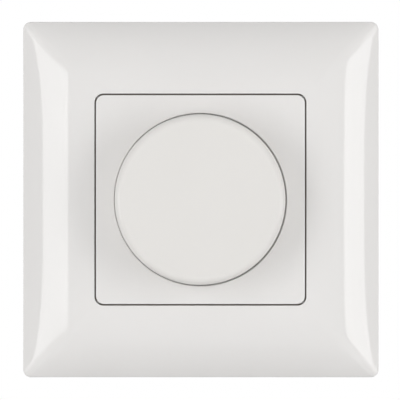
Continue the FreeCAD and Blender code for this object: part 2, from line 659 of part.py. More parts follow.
def make_bush_and_nuts():
    bush = Piece("threaded_bush")
    tip = "size.bush_radius - size.bush_bevel"
    bush.turned([[("place.bush_bore", "place.bush_front"),
                  (tip, "place.bush_front"),
                  ("size.bush_radius", "place.bush_front + size.bush_bevel"),
                  ("size.bush_radius", "place.lid_back"),
                  ("size.bush_flange_radius", "place.lid_back"),
                  ("size.bush_flange_radius", "place.lid_back + size.bush_flange_thick"),
                  ("place.bush_bore", "place.lid_back + size.bush_flange_thick")]])
    bush.finish()

    nut = Piece("centre_nut")
    bore = "size.bush_radius + size.running_gap"
    back = "place.recess_floor"
    front = "place.recess_floor - size.nut_thick"
    nut.turned([[(bore, front), ("size.nut_radius - size.nut_bevel", front),
                 ("size.nut_radius", f"{front} + size.nut_bevel"), ("size.nut_radius", back),
                 (bore, back)]])
    notch = nut.cut(front, f"{front} + size.nut_notch_depth",
                    [rectangle("size.nut_radius - size.nut_notch / 2",
                               "size.nut_radius + size.cut_over",
                               "-size.nut_notch / 2", "size.nut_notch / 2")])
    nut.round_turns([notch], 6)
    nut.finish()

    hexagon = Piece("potentiometer_nut")
    corner = "size.hexagon_width / (2 * cos(30))"
    stations = [(f"{corner} * cos({60 * step})", f"{corner} * sin({60 * step})")
                for step in range(6)]
    hexagon.slab("place.support_front - size.hexagon_thick", "place.support_front",
                 [stations], [("0", "0", bore)])
    hexagon.finish()


def make_support_plate():
    """The stamped plate: screw slots, clip windows, edge notches and lugs for the claws."""
    piece = Piece("support_plate")
    half = "place.support_half"
    piece.slab("place.support_front", "0",
               [rounded_rectangle(half, half, "size.support_corner")],
               [("0", "0", "place.bush_hole")])
    centre = "place.slot_centre"
    slots = [slot_outline(centre, "0", "place.slot_half", "0", "place.slot_radius"),
             slot_outline(f"-{centre}", "0", "place.slot_half", "0", "place.slot_radius"),
             slot_outline("0", centre, "0", "place.slot_half", "place.slot_radius"),
             slot_outline("0", f"-{centre}", "0", "place.slot_half", "place.slot_radius")]
    piece.cut("place.support_front", "0", slots)
    hole = "size.claw_screw_radius + size.claw_hole_gap"
    piece.cut("place.support_front", "0", circles=[
        ("place.claw_screw_x", "size.claw_z", hole),
        ("-place.claw_screw_x", "-size.claw_z", hole),
        ("place.triac_x", "place.triac_z - size.triac_tab / 2",
         "size.rivet_radius + size.seat_gap")])
    window = "place.clip_window_place"
    wide = "size.clip_window / 2"
    openings = piece.cut("place.support_front", "0", [
        rectangle(f"{window} - {wide}", f"{window} + {wide}",
                  f"{window} - {wide} / 2", f"{window} + {wide} / 2"),
        rectangle(f"{half} - size.edge_notch_depth", f"{half} + size.cut_over",
                  f"{window} / 2 - size.edge_notch_width / 4",
                  f"{window} / 2 + size.edge_notch_width / 4")])
    piece.round_turns([openings], 4)
    lug_x0 = "place.claw_pivot_x - size.claw_barrel"
    lug_x1 = "place.claw_pivot_x + size.claw_barrel"
    lug_back = "size.claw_pivot_y + size.claw_barrel"
    for side in ("", "-"):
        for edge_near, edge_far in (("place.lug_inner", "place.lug_outer"),
                                    ("-place.lug_inner", "-place.lug_outer")):
            low = f"{side}(size.claw_z + {edge_near})"
            high = f"{side}(size.claw_z + {edge_far})"
            if worked(low) > worked(high):
                low, high = high, low
            left, right = f"{side}({lug_x0})", f"{side}({lug_x1})"
            if side:
                left, right = right, left
            piece.slab("place.support_front / 2", lug_back, [rectangle(left, right, low, high)])
    piece.cut_bar("XY_Plane", "0", "4 * place.support_half", circles=[
        ("place.claw_pivot_x", "size.claw_pivot_y", "place.ear_hole"),
        ("-place.claw_pivot_x", "size.claw_pivot_y", "place.ear_hole")])
    piece.finish()


def housing_outline(inset):
    """The insert's outline, a rectangle whose corners follow the round wall box."""
    half_x = f"(place.housing_half_x - ({inset}))"
    half_z = f"(place.housing_half_z - ({inset}))"
    radius = f"(place.housing_radius - ({inset}))"
    near_x = f"sqrt({radius}^2 - {half_z}^2)"
    near_z = f"sqrt({radius}^2 - {half_x}^2)"
    bend = ("0", "0", radius)
    return [(near_x, f"-{half_z}", bend), (half_x, f"-{near_z}"),
            (half_x, near_z, bend), (near_x, half_z),
            (f"-{near_x}", half_z, bend), (f"-{half_x}", near_z),
            (f"-{half_x}", f"-{near_z}", bend), (f"-{near_x}", f"-{half_z}")]


def screw_places(radius):
    """Circles at the two housing screws, in opposite corners."""
    return [(f"{side}place.housing_screw_x", f"{side}place.housing_screw_z", radius)
            for side in ("", "-")]


def make_front_housing():
    """The lid behind the support plate, with a lip that enters the cup and two posts."""
    piece = Piece("front_housing")
    piece.slab("0", "place.lid_back", [housing_outline("0")], [("0", "0", "place.bush_hole")])
    inset = "size.housing_wall + size.seat_gap"
    piece.slab("place.lid_back / 2", "place.lid_back + size.lid_lip",
               [housing_outline(inset), housing_outline(f"{inset} + size.lid_thick")])
    piece.cut("0", "place.lid_back + size.lid_lip", [
        rectangle("place.triac_x - size.triac_width / 2 - size.seat_gap",
                  "place.triac_x + size.triac_width / 2 + size.seat_gap",
                  "place.triac_z - size.triac_tab - size.seat_gap",
                  "place.triac_z + size.triac_body + size.seat_gap")])
    bore = "size.housing_screw_radius + size.running_gap"
    piece.slab("place.lid_back / 2", "place.board_front",
               circles=screw_places("size.post_radius"))
    piece.cut("place.board_front - size.housing_screw_bite - size.screw_hole_spare",
              "place.board_front",
              circles=screw_places(bore))
    piece.finish()


def make_rear_housing():
    """The cup that closes the insert, with wire entries, screw holes and screw sinks."""
    piece = Piece("rear_housing")
    piece.slab("place.lid_back", "place.housing_back", [housing_outline("0")])
    back = worked("place.housing_back")
    piece.soften("size.housing_bevel", lambda edge: at_depth(edge, back), "Chamfer")
    piece.cut("place.lid_back", "place.housing_floor", [housing_outline("size.housing_wall")])
    entries = [(f"{step} * size.terminal_pitch", "place.terminal_z", "size.wire_entry_radius")
               for step in (-1, 0, 1)]
    piece.slab("place.board_back", "place.housing_floor", circles=screw_places("size.post_radius"))
    hole = "size.housing_screw_radius + size.screw_hole_gap"
    piece.cut("place.board_back", "place.housing_back", circles=screw_places(hole))
    piece.cut("place.housing_floor", "place.housing_back", circles=entries)
    sink = "size.terminal_head_radius + 2 * size.seat_gap"
    sketch = piece.sketch("XY_Plane", "-place.housing_half_z - size.cut_over", circles=[
        (f"{step} * size.terminal_pitch", "place.terminal_screw_y", sink) for step in (-1, 0, 1)])
    piece.checked(piece.feature, "Pocket", sketch, "size.housing_wall + 2 * size.cut_over",
                  Reversed=True)
    piece.finish()


def make_potentiometer():
    case = Piece("potentiometer_case")
    flange_hole = "size.bush_flange_radius + size.running_gap"
    case.turned([[(flange_hole, "place.case_front"), ("size.case_radius", "place.case_front"),
                  ("size.case_radius", "place.case_back"), ("place.case_bore", "place.case_back"),
                  ("place.case_bore", "place.case_front + size.case_wall"),
                  (flange_hole, "place.case_front + size.case_wall")]])
    half = "size.stop_half_angle"
    inner = "(place.case_bore - size.stop_reach)"
    outer = "(place.case_bore + size.case_wall / 2)"
    case.slab("place.case_front + size.case_wall", "place.rotor_back", [
        [(f"-{inner} * sin({half})", f"-{inner} * cos({half})"),
         (f"-{outer} * sin({half})", f"-{outer} * cos({half})"),
         (f"{outer} * sin({half})", f"-{outer} * cos({half})"),
         (f"{inner} * sin({half})", f"-{inner} * cos({half})")]])
    case.finish()

    rotor = Piece("wiper_rotor")
    hub_back = "place.track_front - size.seat_gap"
    rotor.turned([[("size.shaft_radius / 2", "place.rotor_front"),
                   ("place.rotor_radius", "place.rotor_front"),
                   ("place.rotor_radius", "place.rotor_back"),
                   ("place.rotor_hub_radius", "place.rotor_back"),
                   ("place.rotor_hub_radius", hub_back),
                   ("size.shaft_radius / 2", hub_back)]])
    lug = "size.lug_half_angle"
    near = "place.rotor_hub_radius"
    far = "place.case_bore - 3 * size.seat_gap"
    stations = []
    for reach, sign in ((near, "-"), (far, "-"), (far, "+"), (near, "+")):
        angle = f"(-90 - (360 - size.turn_range) / 2 {sign} {lug})"
        stations.append((f"({reach}) * cos({angle})", f"({reach}) * sin({angle})"))
    rotor.slab("place.rotor_front", "place.rotor_back", [stations])
    key = "place.key_half"
    round_radius = "size.shaft_radius + size.running_gap"
    side = f"sqrt(({round_radius})^2 - {key}^2)"
    bend = ("0", "0", round_radius)
    rotor.cut("place.rotor_front", hub_back, [
        [(key, f"-{side}"), (key, side, bend), (f"-{key}", side), (f"-{key}", f"-{side}", bend)]])
    rotor.finish()

    wiper = Piece("wiper_contact")
    middle = "(place.rotor_hub_radius + place.case_bore) / 2"
    touch = "place.track_front - size.seat_gap"
    thick = "size.finger_thick"
    bend = "size.finger_bend"
    wiper.bar("YZ_Plane", "0", "size.finger_width", [
        [("place.rotor_back", "place.rotor_hub_radius + size.seat_gap"),
         (f"place.rotor_back + {thick}", "place.rotor_hub_radius + size.seat_gap"),
         (f"place.rotor_back + {thick}", f"{middle} - {bend}"),
         (touch, f"{middle} + {bend} / 2"),
         (f"{touch} - {thick}", f"{middle} + 1.5 * {bend}"),
         ("place.rotor_back", f"{middle} - {bend} / 2")]])
    wiper.finish()

    track = Piece("resistive_track")
    edge = "place.case_bore - size.running_gap"
    track.turned([[("size.shaft_radius + 2 * size.seat_gap", "place.track_front"),
                   (edge, "place.track_front"), (edge, "place.case_back"),
                   ("size.shaft_radius + 2 * size.seat_gap", "place.case_back")]])
    track.finish()


def make_switch():
    half = "place.switch_half"
    inner = f"{half} - size.switch_wall"
    case = Piece("switch_case")
    case.slab("place.switch_front", "place.switch_back",
              [rectangle(f"-{half}", half, f"-{half}", half)])
    case.cut("place.switch_front + size.switch_wall", "place.spring_back",
             [rectangle(f"-({inner})", inner, f"-({inner})", inner)])
    case.cut("place.switch_front", "place.switch_front + size.switch_wall",
             circles=[("0", "0", "size.shaft_radius + 2 * size.seat_gap")])
    case.finish()

    plunger = Piece("switch_plunger")
    peg = "size.spring_radius - size.spring_wire - 2 * size.seat_gap"
    peg_back = "place.plunger_back + size.plunger_thick"
    plunger.turned([[("0", "place.plunger_front"), ("size.plunger_radius", "place.plunger_front"),
                     ("size.plunger_radius", "place.plunger_back"), (peg, "place.plunger_back"),
                     (peg, peg_back), ("0", peg_back)]])
    plunger.finish()

    blades = Piece("switch_contacts", separate=True)
    out = f"{inner} - size.running_gap"
    near = "size.plunger_radius + 3 * size.seat_gap"
    wide = "size.blade_width / 2"
    blades.slab("place.spring_back - size.blade_thick", "place.spring_back",
                [rectangle(near, out, f"-{wide}", wide),
                 rectangle(f"-({out})", f"-({near})", f"-{wide}", wide)])
    blades.finish()


def make_return_spring():
    """A coil of short straight runs of six-sided wire, from the plunger to the case's floor."""
    steps = int(worked("size.spring_steps"))
    radius = worked("size.spring_radius")
    wire = worked("size.spring_wire")
    start = worked("place.plunger_back") + wire
    length = worked("place.spring_back") - wire - start
    count = int(steps * worked("size.spring_turns"))
    angles = [2 * math.pi * number / steps for number in range(count + 1)]
    line = [FreeCAD.Vector(radius * math.cos(angle), start + length * number / count,
                           radius * math.sin(angle)) for number, angle in enumerate(angles)]
    along = (line[1] - line[0]).normalize()
    across = along.cross(FreeCAD.Vector(1, 0, 0)).normalize()
    out = across.cross(along)
    corners = [line[0] + out * wire * math.cos(math.pi * side / 3)
               + across * wire * math.sin(math.pi * side / 3) for side in range(7)]
    section = Part.makePolygon(corners)
    mitred = 1
    spring = document.addObject("Part::Feature", "return_spring")
    spring.Shape = Part.makePolygon(line).makePipeShell([section], True, False, mitred)
    keep(spring, "return_spring")


def make_board():
    """The board, cut to the inside of the cup."""
    piece = Piece("circuit_board")
    inset = "size.housing_wall + size.board_gap"
    hole = "size.housing_screw_radius + size.screw_hole_gap"
    piece.slab("place.board_front", "place.board_back", [housing_outline(inset)])
    piece.cut("place.board_front", "place.board_back", circles=screw_places(hole))
    piece.finish()


def block(label, across, up, width, height, front, back, soft):
    """A cuboid component on the board, with the edges of its top rounded."""
    piece = Piece(label)
    piece.slab(front, back, [rectangle(f"{across} - {width} / 2", f"{across} + {width} / 2",
                                       f"{up} - {height} / 2", f"{up} + {height} / 2")])
    level = worked(front)
    piece.soften(soft, lambda edge: at_depth(edge, level))
    piece.finish()


def make_components():
    board = "place.board_front"
    block("film_capacitor", "place.film_x", "place.top_z", "place.film_width",
          "size.film_height", f"{board} - size.film_depth", board, "size.capacitor_round")
    block("timing_capacitor", "place.timing_x", "size.timing_z", "size.timing_width",
          "size.timing_height", f"{board} - size.timing_depth", board, "size.capacitor_round")

    core = Piece("choke_core")
    low = f"{board} - size.core_height - size.winding_wire - size.seat_gap"
    high = f"{board} - size.winding_wire - size.seat_gap"
    core.turned([[("size.core_inner", low), ("size.core_outer", low),
                  ("size.core_outer", high), ("size.core_inner", high)]])
    core.finish(x="place.core_x", z="place.top_z")

    winding = Piece("choke_winding", separate=True)
    gap = "size.running_gap"
    wire = "size.winding_wire"
    turn = winding.bar("XY_Plane", "0", wire, [
        rectangle(f"size.core_inner - {gap} - {wire}", f"size.core_outer + {gap} + {wire}",
                  f"{low} - {gap} - {wire}", f"{high} + {gap} + {wire}"),
        rectangle(f"size.core_inner - {gap}", f"size.core_outer + {gap}",
                  f"{low} - {gap}", f"{high} + {gap}")])
    winding.round_turns([turn], int(worked("size.winding_count")))
    winding.finish(x="place.core_x", z="place.top_z")

    resistors = Piece("resistors", separate=True)
    middle = f"{board} - size.resistor_radius - size.seat_gap"
    end = "(size.resistor_length / 2 + size.lead_reach)"
    for sign in ("-", "+"):
        across = f"place.resistor_x {sign} size.resistor_pitch / 2"
        resistors.bar("XY_Plane", "0", "size.resistor_length",
                      circles=[(across, middle, "size.resistor_radius")])
        resistors.wire(across, board, (across, f"-{end}", "size.lead_radius"),
                       [(board, f"-{end}"), (middle, f"-{end}"), (middle, end), (board, end)])
    resistors.finish()

    triac = Piece("triac")
    left = "place.triac_x - size.triac_width / 2"
    right = "place.triac_x + size.triac_width / 2"
    triac.slab("0", "size.triac_tab_thick",
               [rectangle(left, right, "place.triac_z - size.triac_tab", "place.triac_z")],
               [("place.triac_x", "place.triac_z - size.triac_tab / 2",
                 "size.rivet_radius + size.seat_gap")])
    top = "place.triac_z + size.triac_body"
    triac.slab("0", "size.triac_thick", [rectangle(left, right, "place.triac_z", top)])
    out = f"{top} + size.leg_reach"
    legs = [(f"place.triac_x + {step} * size.leg_pitch - size.leg_width / 2",
             f"place.triac_x + {step} * size.leg_pitch + size.leg_width / 2")
            for step in (-1, 0, 1)]
    triac.slab("size.triac_thick / 2", "size.triac_thick / 2 + size.leg_thick",
               [rectangle(*sides, top, out) for sides in legs])
    triac.slab("size.triac_thick / 2", board,
               [rectangle(*sides, f"{out} - size.leg_thick", out) for sides in legs])
    triac.finish()

    rivet = Piece("triac_rivet")
    head = "size.rivet_head"
    shank = "size.rivet_radius"
    end = "size.rivet_head_thick"
    rivet.turned([[("0", f"place.support_front - {end}"), (head, f"place.support_front - {end}"),
                   (head, "place.support_front"), (shank, "place.support_front"),
                   (shank, "size.triac_tab_thick"), (head, "size.triac_tab_thick"),
                   (head, f"size.triac_tab_thick + {end}"),
                   ("0", f"size.triac_tab_thick + {end}")]])
    rivet.finish(x="place.triac_x", z="place.triac_z - size.triac_tab / 2")

    fuse = Piece("fuse")
    cap = "size.fuse_cap"
    fuse.bar("YZ_Plane", "place.fuse_x", "place.fuse_length",
             circles=[("place.fuse_y", "place.fuse_z", "size.fuse_radius - size.fuse_cap_thick")])
    for sign in ("-", "+"):
        fuse.bar("YZ_Plane", f"place.fuse_x {sign} (place.fuse_length - {cap}) / 2", cap,
                 circles=[("place.fuse_y", "place.fuse_z", "size.fuse_radius")])
    fuse.finish()

    clips = Piece("fuse_clips", separate=True)
    inner = "(size.fuse_radius + size.running_gap)"
    outer = f"({inner} + size.fuse_clip_thick)"
    lip = "place.fuse_y - size.fuse_clip_lip"
    for sign in ("-", "+"):
        middle = f"place.fuse_x {sign} (place.fuse_length - {cap}) / 2"
        clips.bar("YZ_Plane", middle, "size.fuse_clip_width", [
            [(lip, f"place.fuse_z - {outer}"), (board, f"place.fuse_z - {outer}"),
             (board, f"place.fuse_z + {outer}"), (lip, f"place.fuse_z + {outer}"),
             (lip, f"place.fuse_z + {inner}"),
             (f"{board} - size.fuse_clip_thick", f"place.fuse_z + {inner}"),
             (f"{board} - size.fuse_clip_thick", f"place.fuse_z - {inner}"),
             (lip, f"place.fuse_z - {inner}")]])
    clips.finish()


def make_terminals():
    """Three cage clamps in a block behind the board, each with a screw from below."""
    housing = Piece("terminal_block")
    half = "place.block_half"
    housing.slab("place.board_back", "place.block_back",
                 [rectangle(f"-{half}", half, "place.block_low", "place.block_high")])
    room = "place.terminal_half + size.running_gap"
    first = "-size.terminal_pitch"
    cavity = housing.cut("place.clamp_front", "place.block_back", [
        rectangle(f"{first} - ({room})", f"{first} + ({room})",
                  f"place.terminal_z - ({room})", f"place.terminal_z + ({room})")])
    housing.in_line([cavity], 3, "size.terminal_pitch")
    sketch = housing.sketch("XY_Plane", "place.block_low - size.cut_over", circles=[
        (f"{step} * size.terminal_pitch", "place.terminal_screw_y",
         "size.terminal_screw_radius + size.seat_gap") for step in (-1, 0, 1)])
    through = "size.terminal_wall + 2 * size.cut_over"
    housing.checked(housing.feature, "Pocket", sketch, through, Reversed=True)
    housing.finish()

    clamps = Piece("terminal_clamps", separate=True)
    edge = "place.terminal_half"
    bore = f"{edge} - size.terminal_wall"
    for step in (-1, 0, 1):
        middle = f"{step} * size.terminal_pitch"
        clamps.slab("place.clamp_front", "place.block_back", [
            rectangle(f"{middle} - {edge}", f"{middle} + {edge}",
                      f"place.terminal_z - {edge}", f"place.terminal_z + {edge}"),
            rectangle(f"{middle} - ({bore})", f"{middle} + ({bore})",
                      f"place.terminal_z - ({bore})", f"place.terminal_z + ({bore})")])
    low = "place.terminal_z - place.terminal_half - size.cut_over"
    sketch = clamps.sketch("XY_Plane", low, circles=[
        (f"{step} * size.terminal_pitch", "place.terminal_screw_y",
         "size.terminal_screw_radius + size.running_gap") for step in (-1, 0, 1)])
    clamps.checked(clamps.feature, "Pocket", sketch, through, Reversed=True)
    clamps.finish()

    screws = Piece("terminal_screws", separate=True)
    top = f"place.terminal_z - {bore} + size.terminal_screw_bite"
    shoulder = "place.block_low"
    for step in (-1, 0, 1):
        middle = f"{step} * size.terminal_pitch"
        for radius, low, high in (
                ("size.terminal_head_radius", f"{shoulder} - size.terminal_head_thick", shoulder),
                ("size.terminal_screw_radius", shoulder, top)):
            sketch = screws.sketch("XY_Plane", low, circles=[
                (middle, "place.terminal_screw_y", radius)])
            screws.feature("Pad", sketch, f"{high} - ({low})")
    screws.finish()


def make_housing_screws():
    """Two pan-headed screws from behind, through the cup's floor and the board to the lid."""
    piece = Piece("housing_screws", separate=True)
    head_back = "place.housing_back + size.housing_screw_head_thick"
    piece.slab("place.housing_back", head_back, circles=screw_places("size.housing_screw_head"))
    piece.slab("place.board_front - size.housing_screw_bite", "place.housing_back",
               circles=screw_places("size.housing_screw_radius"))
    half = "size.driver_slot / 2"
    past = "(size.housing_screw_head + size.cut_over)"
    for side in ("", "-"):
        x = f"{side}place.housing_screw_x"
        z = f"{side}place.housing_screw_z"
        piece.cut(f"{head_back} - size.driver_depth", head_back, [
            rectangle(f"{x} - {past}", f"{x} + {past}", f"{z} - {half}", f"{z} + {half}")])
    piece.finish()


def make_claw(label, turned):
    """A bent steel claw: a rolled edge with two ears, an arm with a window, the tongue that was
    cut from the window and folded out round the screw, and a toothed foot."""
    piece = Piece(label)
    x = "place.claw_pivot_x"
    y = "size.claw_pivot_y"
    thick = "size.claw_thick"
    left = f"{x} - size.claw_barrel"
    right = f"{left} + {thick}"
    end = f"{y} + size.claw_reach"
    piece.bar("XY_Plane", "0", "size.claw_width", circles=[(x, y, "size.claw_barrel")])
    piece.bar("XY_Plane", "0", "size.claw_width", [
        [(left, y), (right, y), (right, f"{end} - {thick}"),
         (f"{right} + size.tooth_reach - size.tooth_slope", f"{end} - {thick}"),
         (f"{right} + size.tooth_reach", end), (left, end)]])
    window_back = f"size.tongue_y + {thick} + size.tongue_reach"
    piece.cut_bar("YZ_Plane", x, f"4 * {thick}", [
        rectangle(f"size.tongue_y + {thick}", window_back,
                  "-size.tongue_width / 2", "size.tongue_width / 2")])
    tongue_end = f"{right} + size.tongue_reach"
    piece.slab("size.tongue_y", f"size.tongue_y + {thick}", [
        rectangle(left, tongue_end, "-size.tongue_width / 2", "size.tongue_width / 2")])
    slot_low = f"{right} + size.tongue_slot_start"
    slot_high = "place.claw_screw_x + size.claw_screw_radius + size.tongue_slot_end"
    clear = "(size.claw_screw_radius + size.claw_hole_gap)"
    piece.cut("size.tongue_y", f"size.tongue_y + {thick}", [
        slot_outline(f"({slot_low} + {slot_high}) / 2", "0",
                     f"(({slot_high} - ({slot_low})) / 2 - {clear})", "0", clear)])
    notch = "size.claw_width / 5"
    past = f"{right} + 1.05 * size.tooth_reach"
    for step in (-1, 1):
        middle = f"{step} * {notch}"
        piece.cut(f"{end} - 2 * {thick}", f"{end} + size.cut_over", [
            [(f"{right} + size.tooth_reach / 3", middle), (past, f"{middle} - {notch} / 2"),
             (past, f"{middle} + {notch} / 2")]])
    ears = "size.claw_width + 2 * (size.claw_side_gap + size.lug_thick)"
    piece.bar("XY_Plane", "0", ears, circles=[(x, y, "size.claw_ear")])
    if turned:
        piece.body.Placement = FreeCAD.Placement(
            FreeCAD.Vector(0, 0, 0), FreeCAD.Rotation(FreeCAD.Vector(0, 1, 0), 180))
    piece.finish(z="-size.claw_z" if turned else "size.claw_z")


def make_claw_screw(label, side):
    piece = Piece(label)
    head = "size.claw_head_radius"
    front = "place.support_front - size.claw_head_thick"
    shank = "size.claw_screw_radius"
    end = "place.support_front + size.claw_screw_length"
    bevel = "size.claw_head_bevel"
    tip = "size.claw_tip_bevel"
    piece.turned([[("0", front), (f"{head} - {bevel}", front), (head, f"{front} + {bevel}"),
                   (head, "place.support_front"), (shank, "place.support_front"),
                   (shank, f"{end} - {tip}"), (f"{shank} - {tip}", end), ("0", end)]])
    past = f"({head} + size.cut_over)"
    piece.cut(front, f"{front} + size.driver_depth", [
        rectangle(f"-{past}", past, "-size.driver_slot / 2", "size.driver_slot / 2")])
    piece.finish(x=f"{side}place.claw_screw_x", z=f"{side}size.claw_z")


make_cover_frame()
make_centre_plate()
make_knob()
make_knob_clip()
make_shaft()
make_bush_and_nuts()
make_support_plate()
make_front_housing()
make_rear_housing()
make_potentiometer()
make_switch()
make_return_spring()
make_board()
make_components()
make_terminals()
make_housing_screws()
make_claw("claw_right", False)
make_claw("claw_left", True)
make_claw_screw("claw_screw_right", "")
make_claw_screw("claw_screw_left", "-")

document.recompute()
for thing in document.Objects:
    if "Invalid" in thing.State or "Error" in thing.State:
        raise RuntimeError(f"{thing.Label} failed: {thing.State}")
for thing in subparts:
    if thing.Shape.isNull() or not thing.Shape.isValid() or not thing.Shape.Solids:
        raise RuntimeError(f"{thing.Label} has no valid solid")

os.makedirs("parts", exist_ok=True)
for thing in subparts:
    thing.Shape.exportStep(f"parts/{thing.Label}.step")
print(len(subparts), "sub-parts")
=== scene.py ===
"""Looks of the flush-mounted rotary dimmer.

Metres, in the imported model's frame: X is right, Z is up and Y goes into the wall. The cover
frame, the centre plate, the knob, the claw threads and the return spring are surfaces worked out
with numpy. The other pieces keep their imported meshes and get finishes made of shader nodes.
"""
import math

import bmesh
import bpy
import numpy as np
from bpy.props import FloatProperty, FloatVectorProperty, IntProperty, PointerProperty
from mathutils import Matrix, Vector


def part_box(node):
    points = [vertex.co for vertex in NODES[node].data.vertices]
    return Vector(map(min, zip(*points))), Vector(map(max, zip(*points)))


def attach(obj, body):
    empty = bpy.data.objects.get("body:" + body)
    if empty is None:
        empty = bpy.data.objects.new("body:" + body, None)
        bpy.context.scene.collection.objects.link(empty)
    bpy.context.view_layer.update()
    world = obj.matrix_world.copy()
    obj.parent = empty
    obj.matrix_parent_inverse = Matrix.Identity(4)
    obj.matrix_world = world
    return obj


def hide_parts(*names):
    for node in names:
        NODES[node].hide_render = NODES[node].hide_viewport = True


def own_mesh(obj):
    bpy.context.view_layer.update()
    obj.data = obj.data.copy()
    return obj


bl_info = {
    "name": "Rotary Dimmer",
    "version": (1, 0, 0),
    "blender": (4, 5, 0),
    "location": "View3D > Sidebar > Dimmer",
    "description": "Builds the surfaces, finishes and stage of a flush-mounted rotary dimmer",
    "category": "Object",
}

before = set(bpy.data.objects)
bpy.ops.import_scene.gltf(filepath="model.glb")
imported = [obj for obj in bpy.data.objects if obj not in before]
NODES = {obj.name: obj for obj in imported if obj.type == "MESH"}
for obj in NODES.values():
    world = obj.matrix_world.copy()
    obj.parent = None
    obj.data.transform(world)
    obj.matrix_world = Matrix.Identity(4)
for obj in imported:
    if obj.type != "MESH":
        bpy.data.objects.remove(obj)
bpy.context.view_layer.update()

FRAME_LOW, FRAME_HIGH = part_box("cover_frame")
PLATE_LOW, PLATE_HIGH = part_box("centre_plate")
KNOB_LOW, KNOB_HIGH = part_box("knob")
SUPPORT_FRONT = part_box("support_plate")[0].y

# Radius of the back edges of the frame and the knob, and how far in the flat back starts
BACK_ROUND = 0.0002
BACK_FLAT = 0.0003

# Rows along the frame's arched flank, and columns round the knob
FLANK_ROWS = 72
KNOB_COLUMNS = 256

# Where the frame's ribs stand on each side, as shares of the collar's half width, and how far
# ribs run into the frame's collar and into the knob's hub
RIB_PLACES = (-0.6, 0.0, 0.6)
COLLAR_OVERLAP = 0.0002
HUB_OVERLAP = 0.0005

# Half the potentiometer nut's width across flats, and the room that the sleeve leaves round it
NUT_HALF = 0.007
NUT_ROOM = 0.0006

# How far a claw screw's thread stays away from the support plate's front and the screw's tip
THREAD_LEAD = 0.0015
THREAD_END = 0.0006


# Shapes

def arc(across, depth, radius, start, stop, count):
    """Points of an arc: across plus radius times cosine, depth plus radius times sine, with
    the angle in degrees from start to stop."""
    angle = np.radians(np.linspace(start, stop, count))
    return np.column_stack([across + radius * np.cos(angle), depth + radius * np.sin(angle)])


def line(start, stop, count=2):
    """Points along a straight line: start plus a share of the way to stop."""
    share = np.linspace(0.0, 1.0, count)[:, None]
    return np.asarray(start) * (1 - share) + np.asarray(stop) * share


def stations(points, corner):
    """Rows of half size, corner radius and depth, from rows of half size and depth."""
    points = np.atleast_2d(points)
    corner = np.broadcast_to(corner, len(points))
    return np.column_stack([points[:, 0], corner, points[:, 1]])


def round_stations(points):
    """Stations of a turned piece: the corner radius is the half size itself."""
    points = np.atleast_2d(points)
    return stations(points, points[:, 0])


def ray_angles(side_steps, corner_steps, corner_band):
    """Directions round the Y axis, close together in a band at each of the four corners."""
    edge = math.pi / 4 - corner_band
    side = np.linspace(-edge, edge, side_steps, endpoint=False)
    corner = np.linspace(edge, edge + 2 * corner_band, corner_steps, endpoint=False)
    quarter = np.concatenate([side, corner])
    return np.concatenate([quarter + turn * math.pi / 2 for turn in range(4)])


def side_cosines(angles):
    """The larger and the smaller of |cos| and |sin|, each as one row."""
    cosine = abs(np.cos(angles))[None, :]
    sine = abs(np.sin(angles))[None, :]
    return np.maximum(cosine, sine), np.minimum(cosine, sine)


def rounded_square(rows, angles):
    """Points where rays from the axis leave a square with round corners, one ring for each
    station. On a straight side the distance is the half size over the larger of |cos| and
    |sin|. In a corner it solves |distance * ray - corner centre| = corner radius."""
    half, corner, depth = (rows[:, [column]] for column in range(3))
    cosine = np.cos(angles)[None, :]
    sine = np.sin(angles)[None, :]
    wide, narrow = side_cosines(angles)
    middle = half - corner
    side = half / wide
    inside = corner ** 2 - middle ** 2 * (1 - 2 * wide * narrow)
    bend = middle * (wide + narrow) + np.sqrt(np.maximum(inside, 0.0))
    reach = np.where(side * narrow <= middle, side, bend)
    return np.stack([reach * cosine, np.broadcast_to(depth, reach.shape), reach * sine], axis=-1)


def grid_faces(rows, columns, close_rows):
    """Quads between the neighbours of a grid whose columns go all the way round."""
    row = np.arange(rows if close_rows else rows - 1)[:, None]
    column = np.arange(columns)[None, :]
    after = (row + 1) % rows
    beside = (column + 1) % columns
    corners = [row * columns + column, row * columns + beside,
               after * columns + beside, after * columns + column]
    return np.stack(corners, axis=-1).reshape(-1, 4)


def skin(points, close_rows=True):
    """A grid of points with its quads."""
    return points.reshape(-1, 3), grid_faces(points.shape[0], points.shape[1], close_rows)


def close_ends(rings):
    """Rings of a tube, with one more at each end that is shrunk to the end ring's middle."""
    ends = rings[[0, -1]].mean(axis=1, keepdims=True).repeat(rings.shape[1], axis=1)
    return np.concatenate([ends[:1], rings, ends[1:]])


def bar(start, stop, low, high, front, back):
    """One bar along X: its depth runs from front to back, which are arrays over the places
    between start and stop, and its four long edges make the columns of a grid."""
    across = np.linspace(start, stop, len(front))
    corners = ((front, low), (front, high), (back, high), (back, low))
    edges = [np.stack([across, depth, np.full_like(across, height)], axis=-1)
             for depth, height in corners]
    return close_ends(np.stack(edges, axis=1))


def turned_copies(points, count):
    """Copies of a grid turned round the Y axis in even steps, as a list of grids: each point
    is multiplied by the matrix of its copy's turn."""
    copies = []
    for step in range(count):
        angle = 2 * math.pi * step / count
        turn = np.array([[math.cos(angle), 0.0, -math.sin(angle)],
                         [0.0, 1.0, 0.0],
                         [math.sin(angle), 0.0, math.cos(angle)]])
        copies.append(points @ turn.T)
    return copies


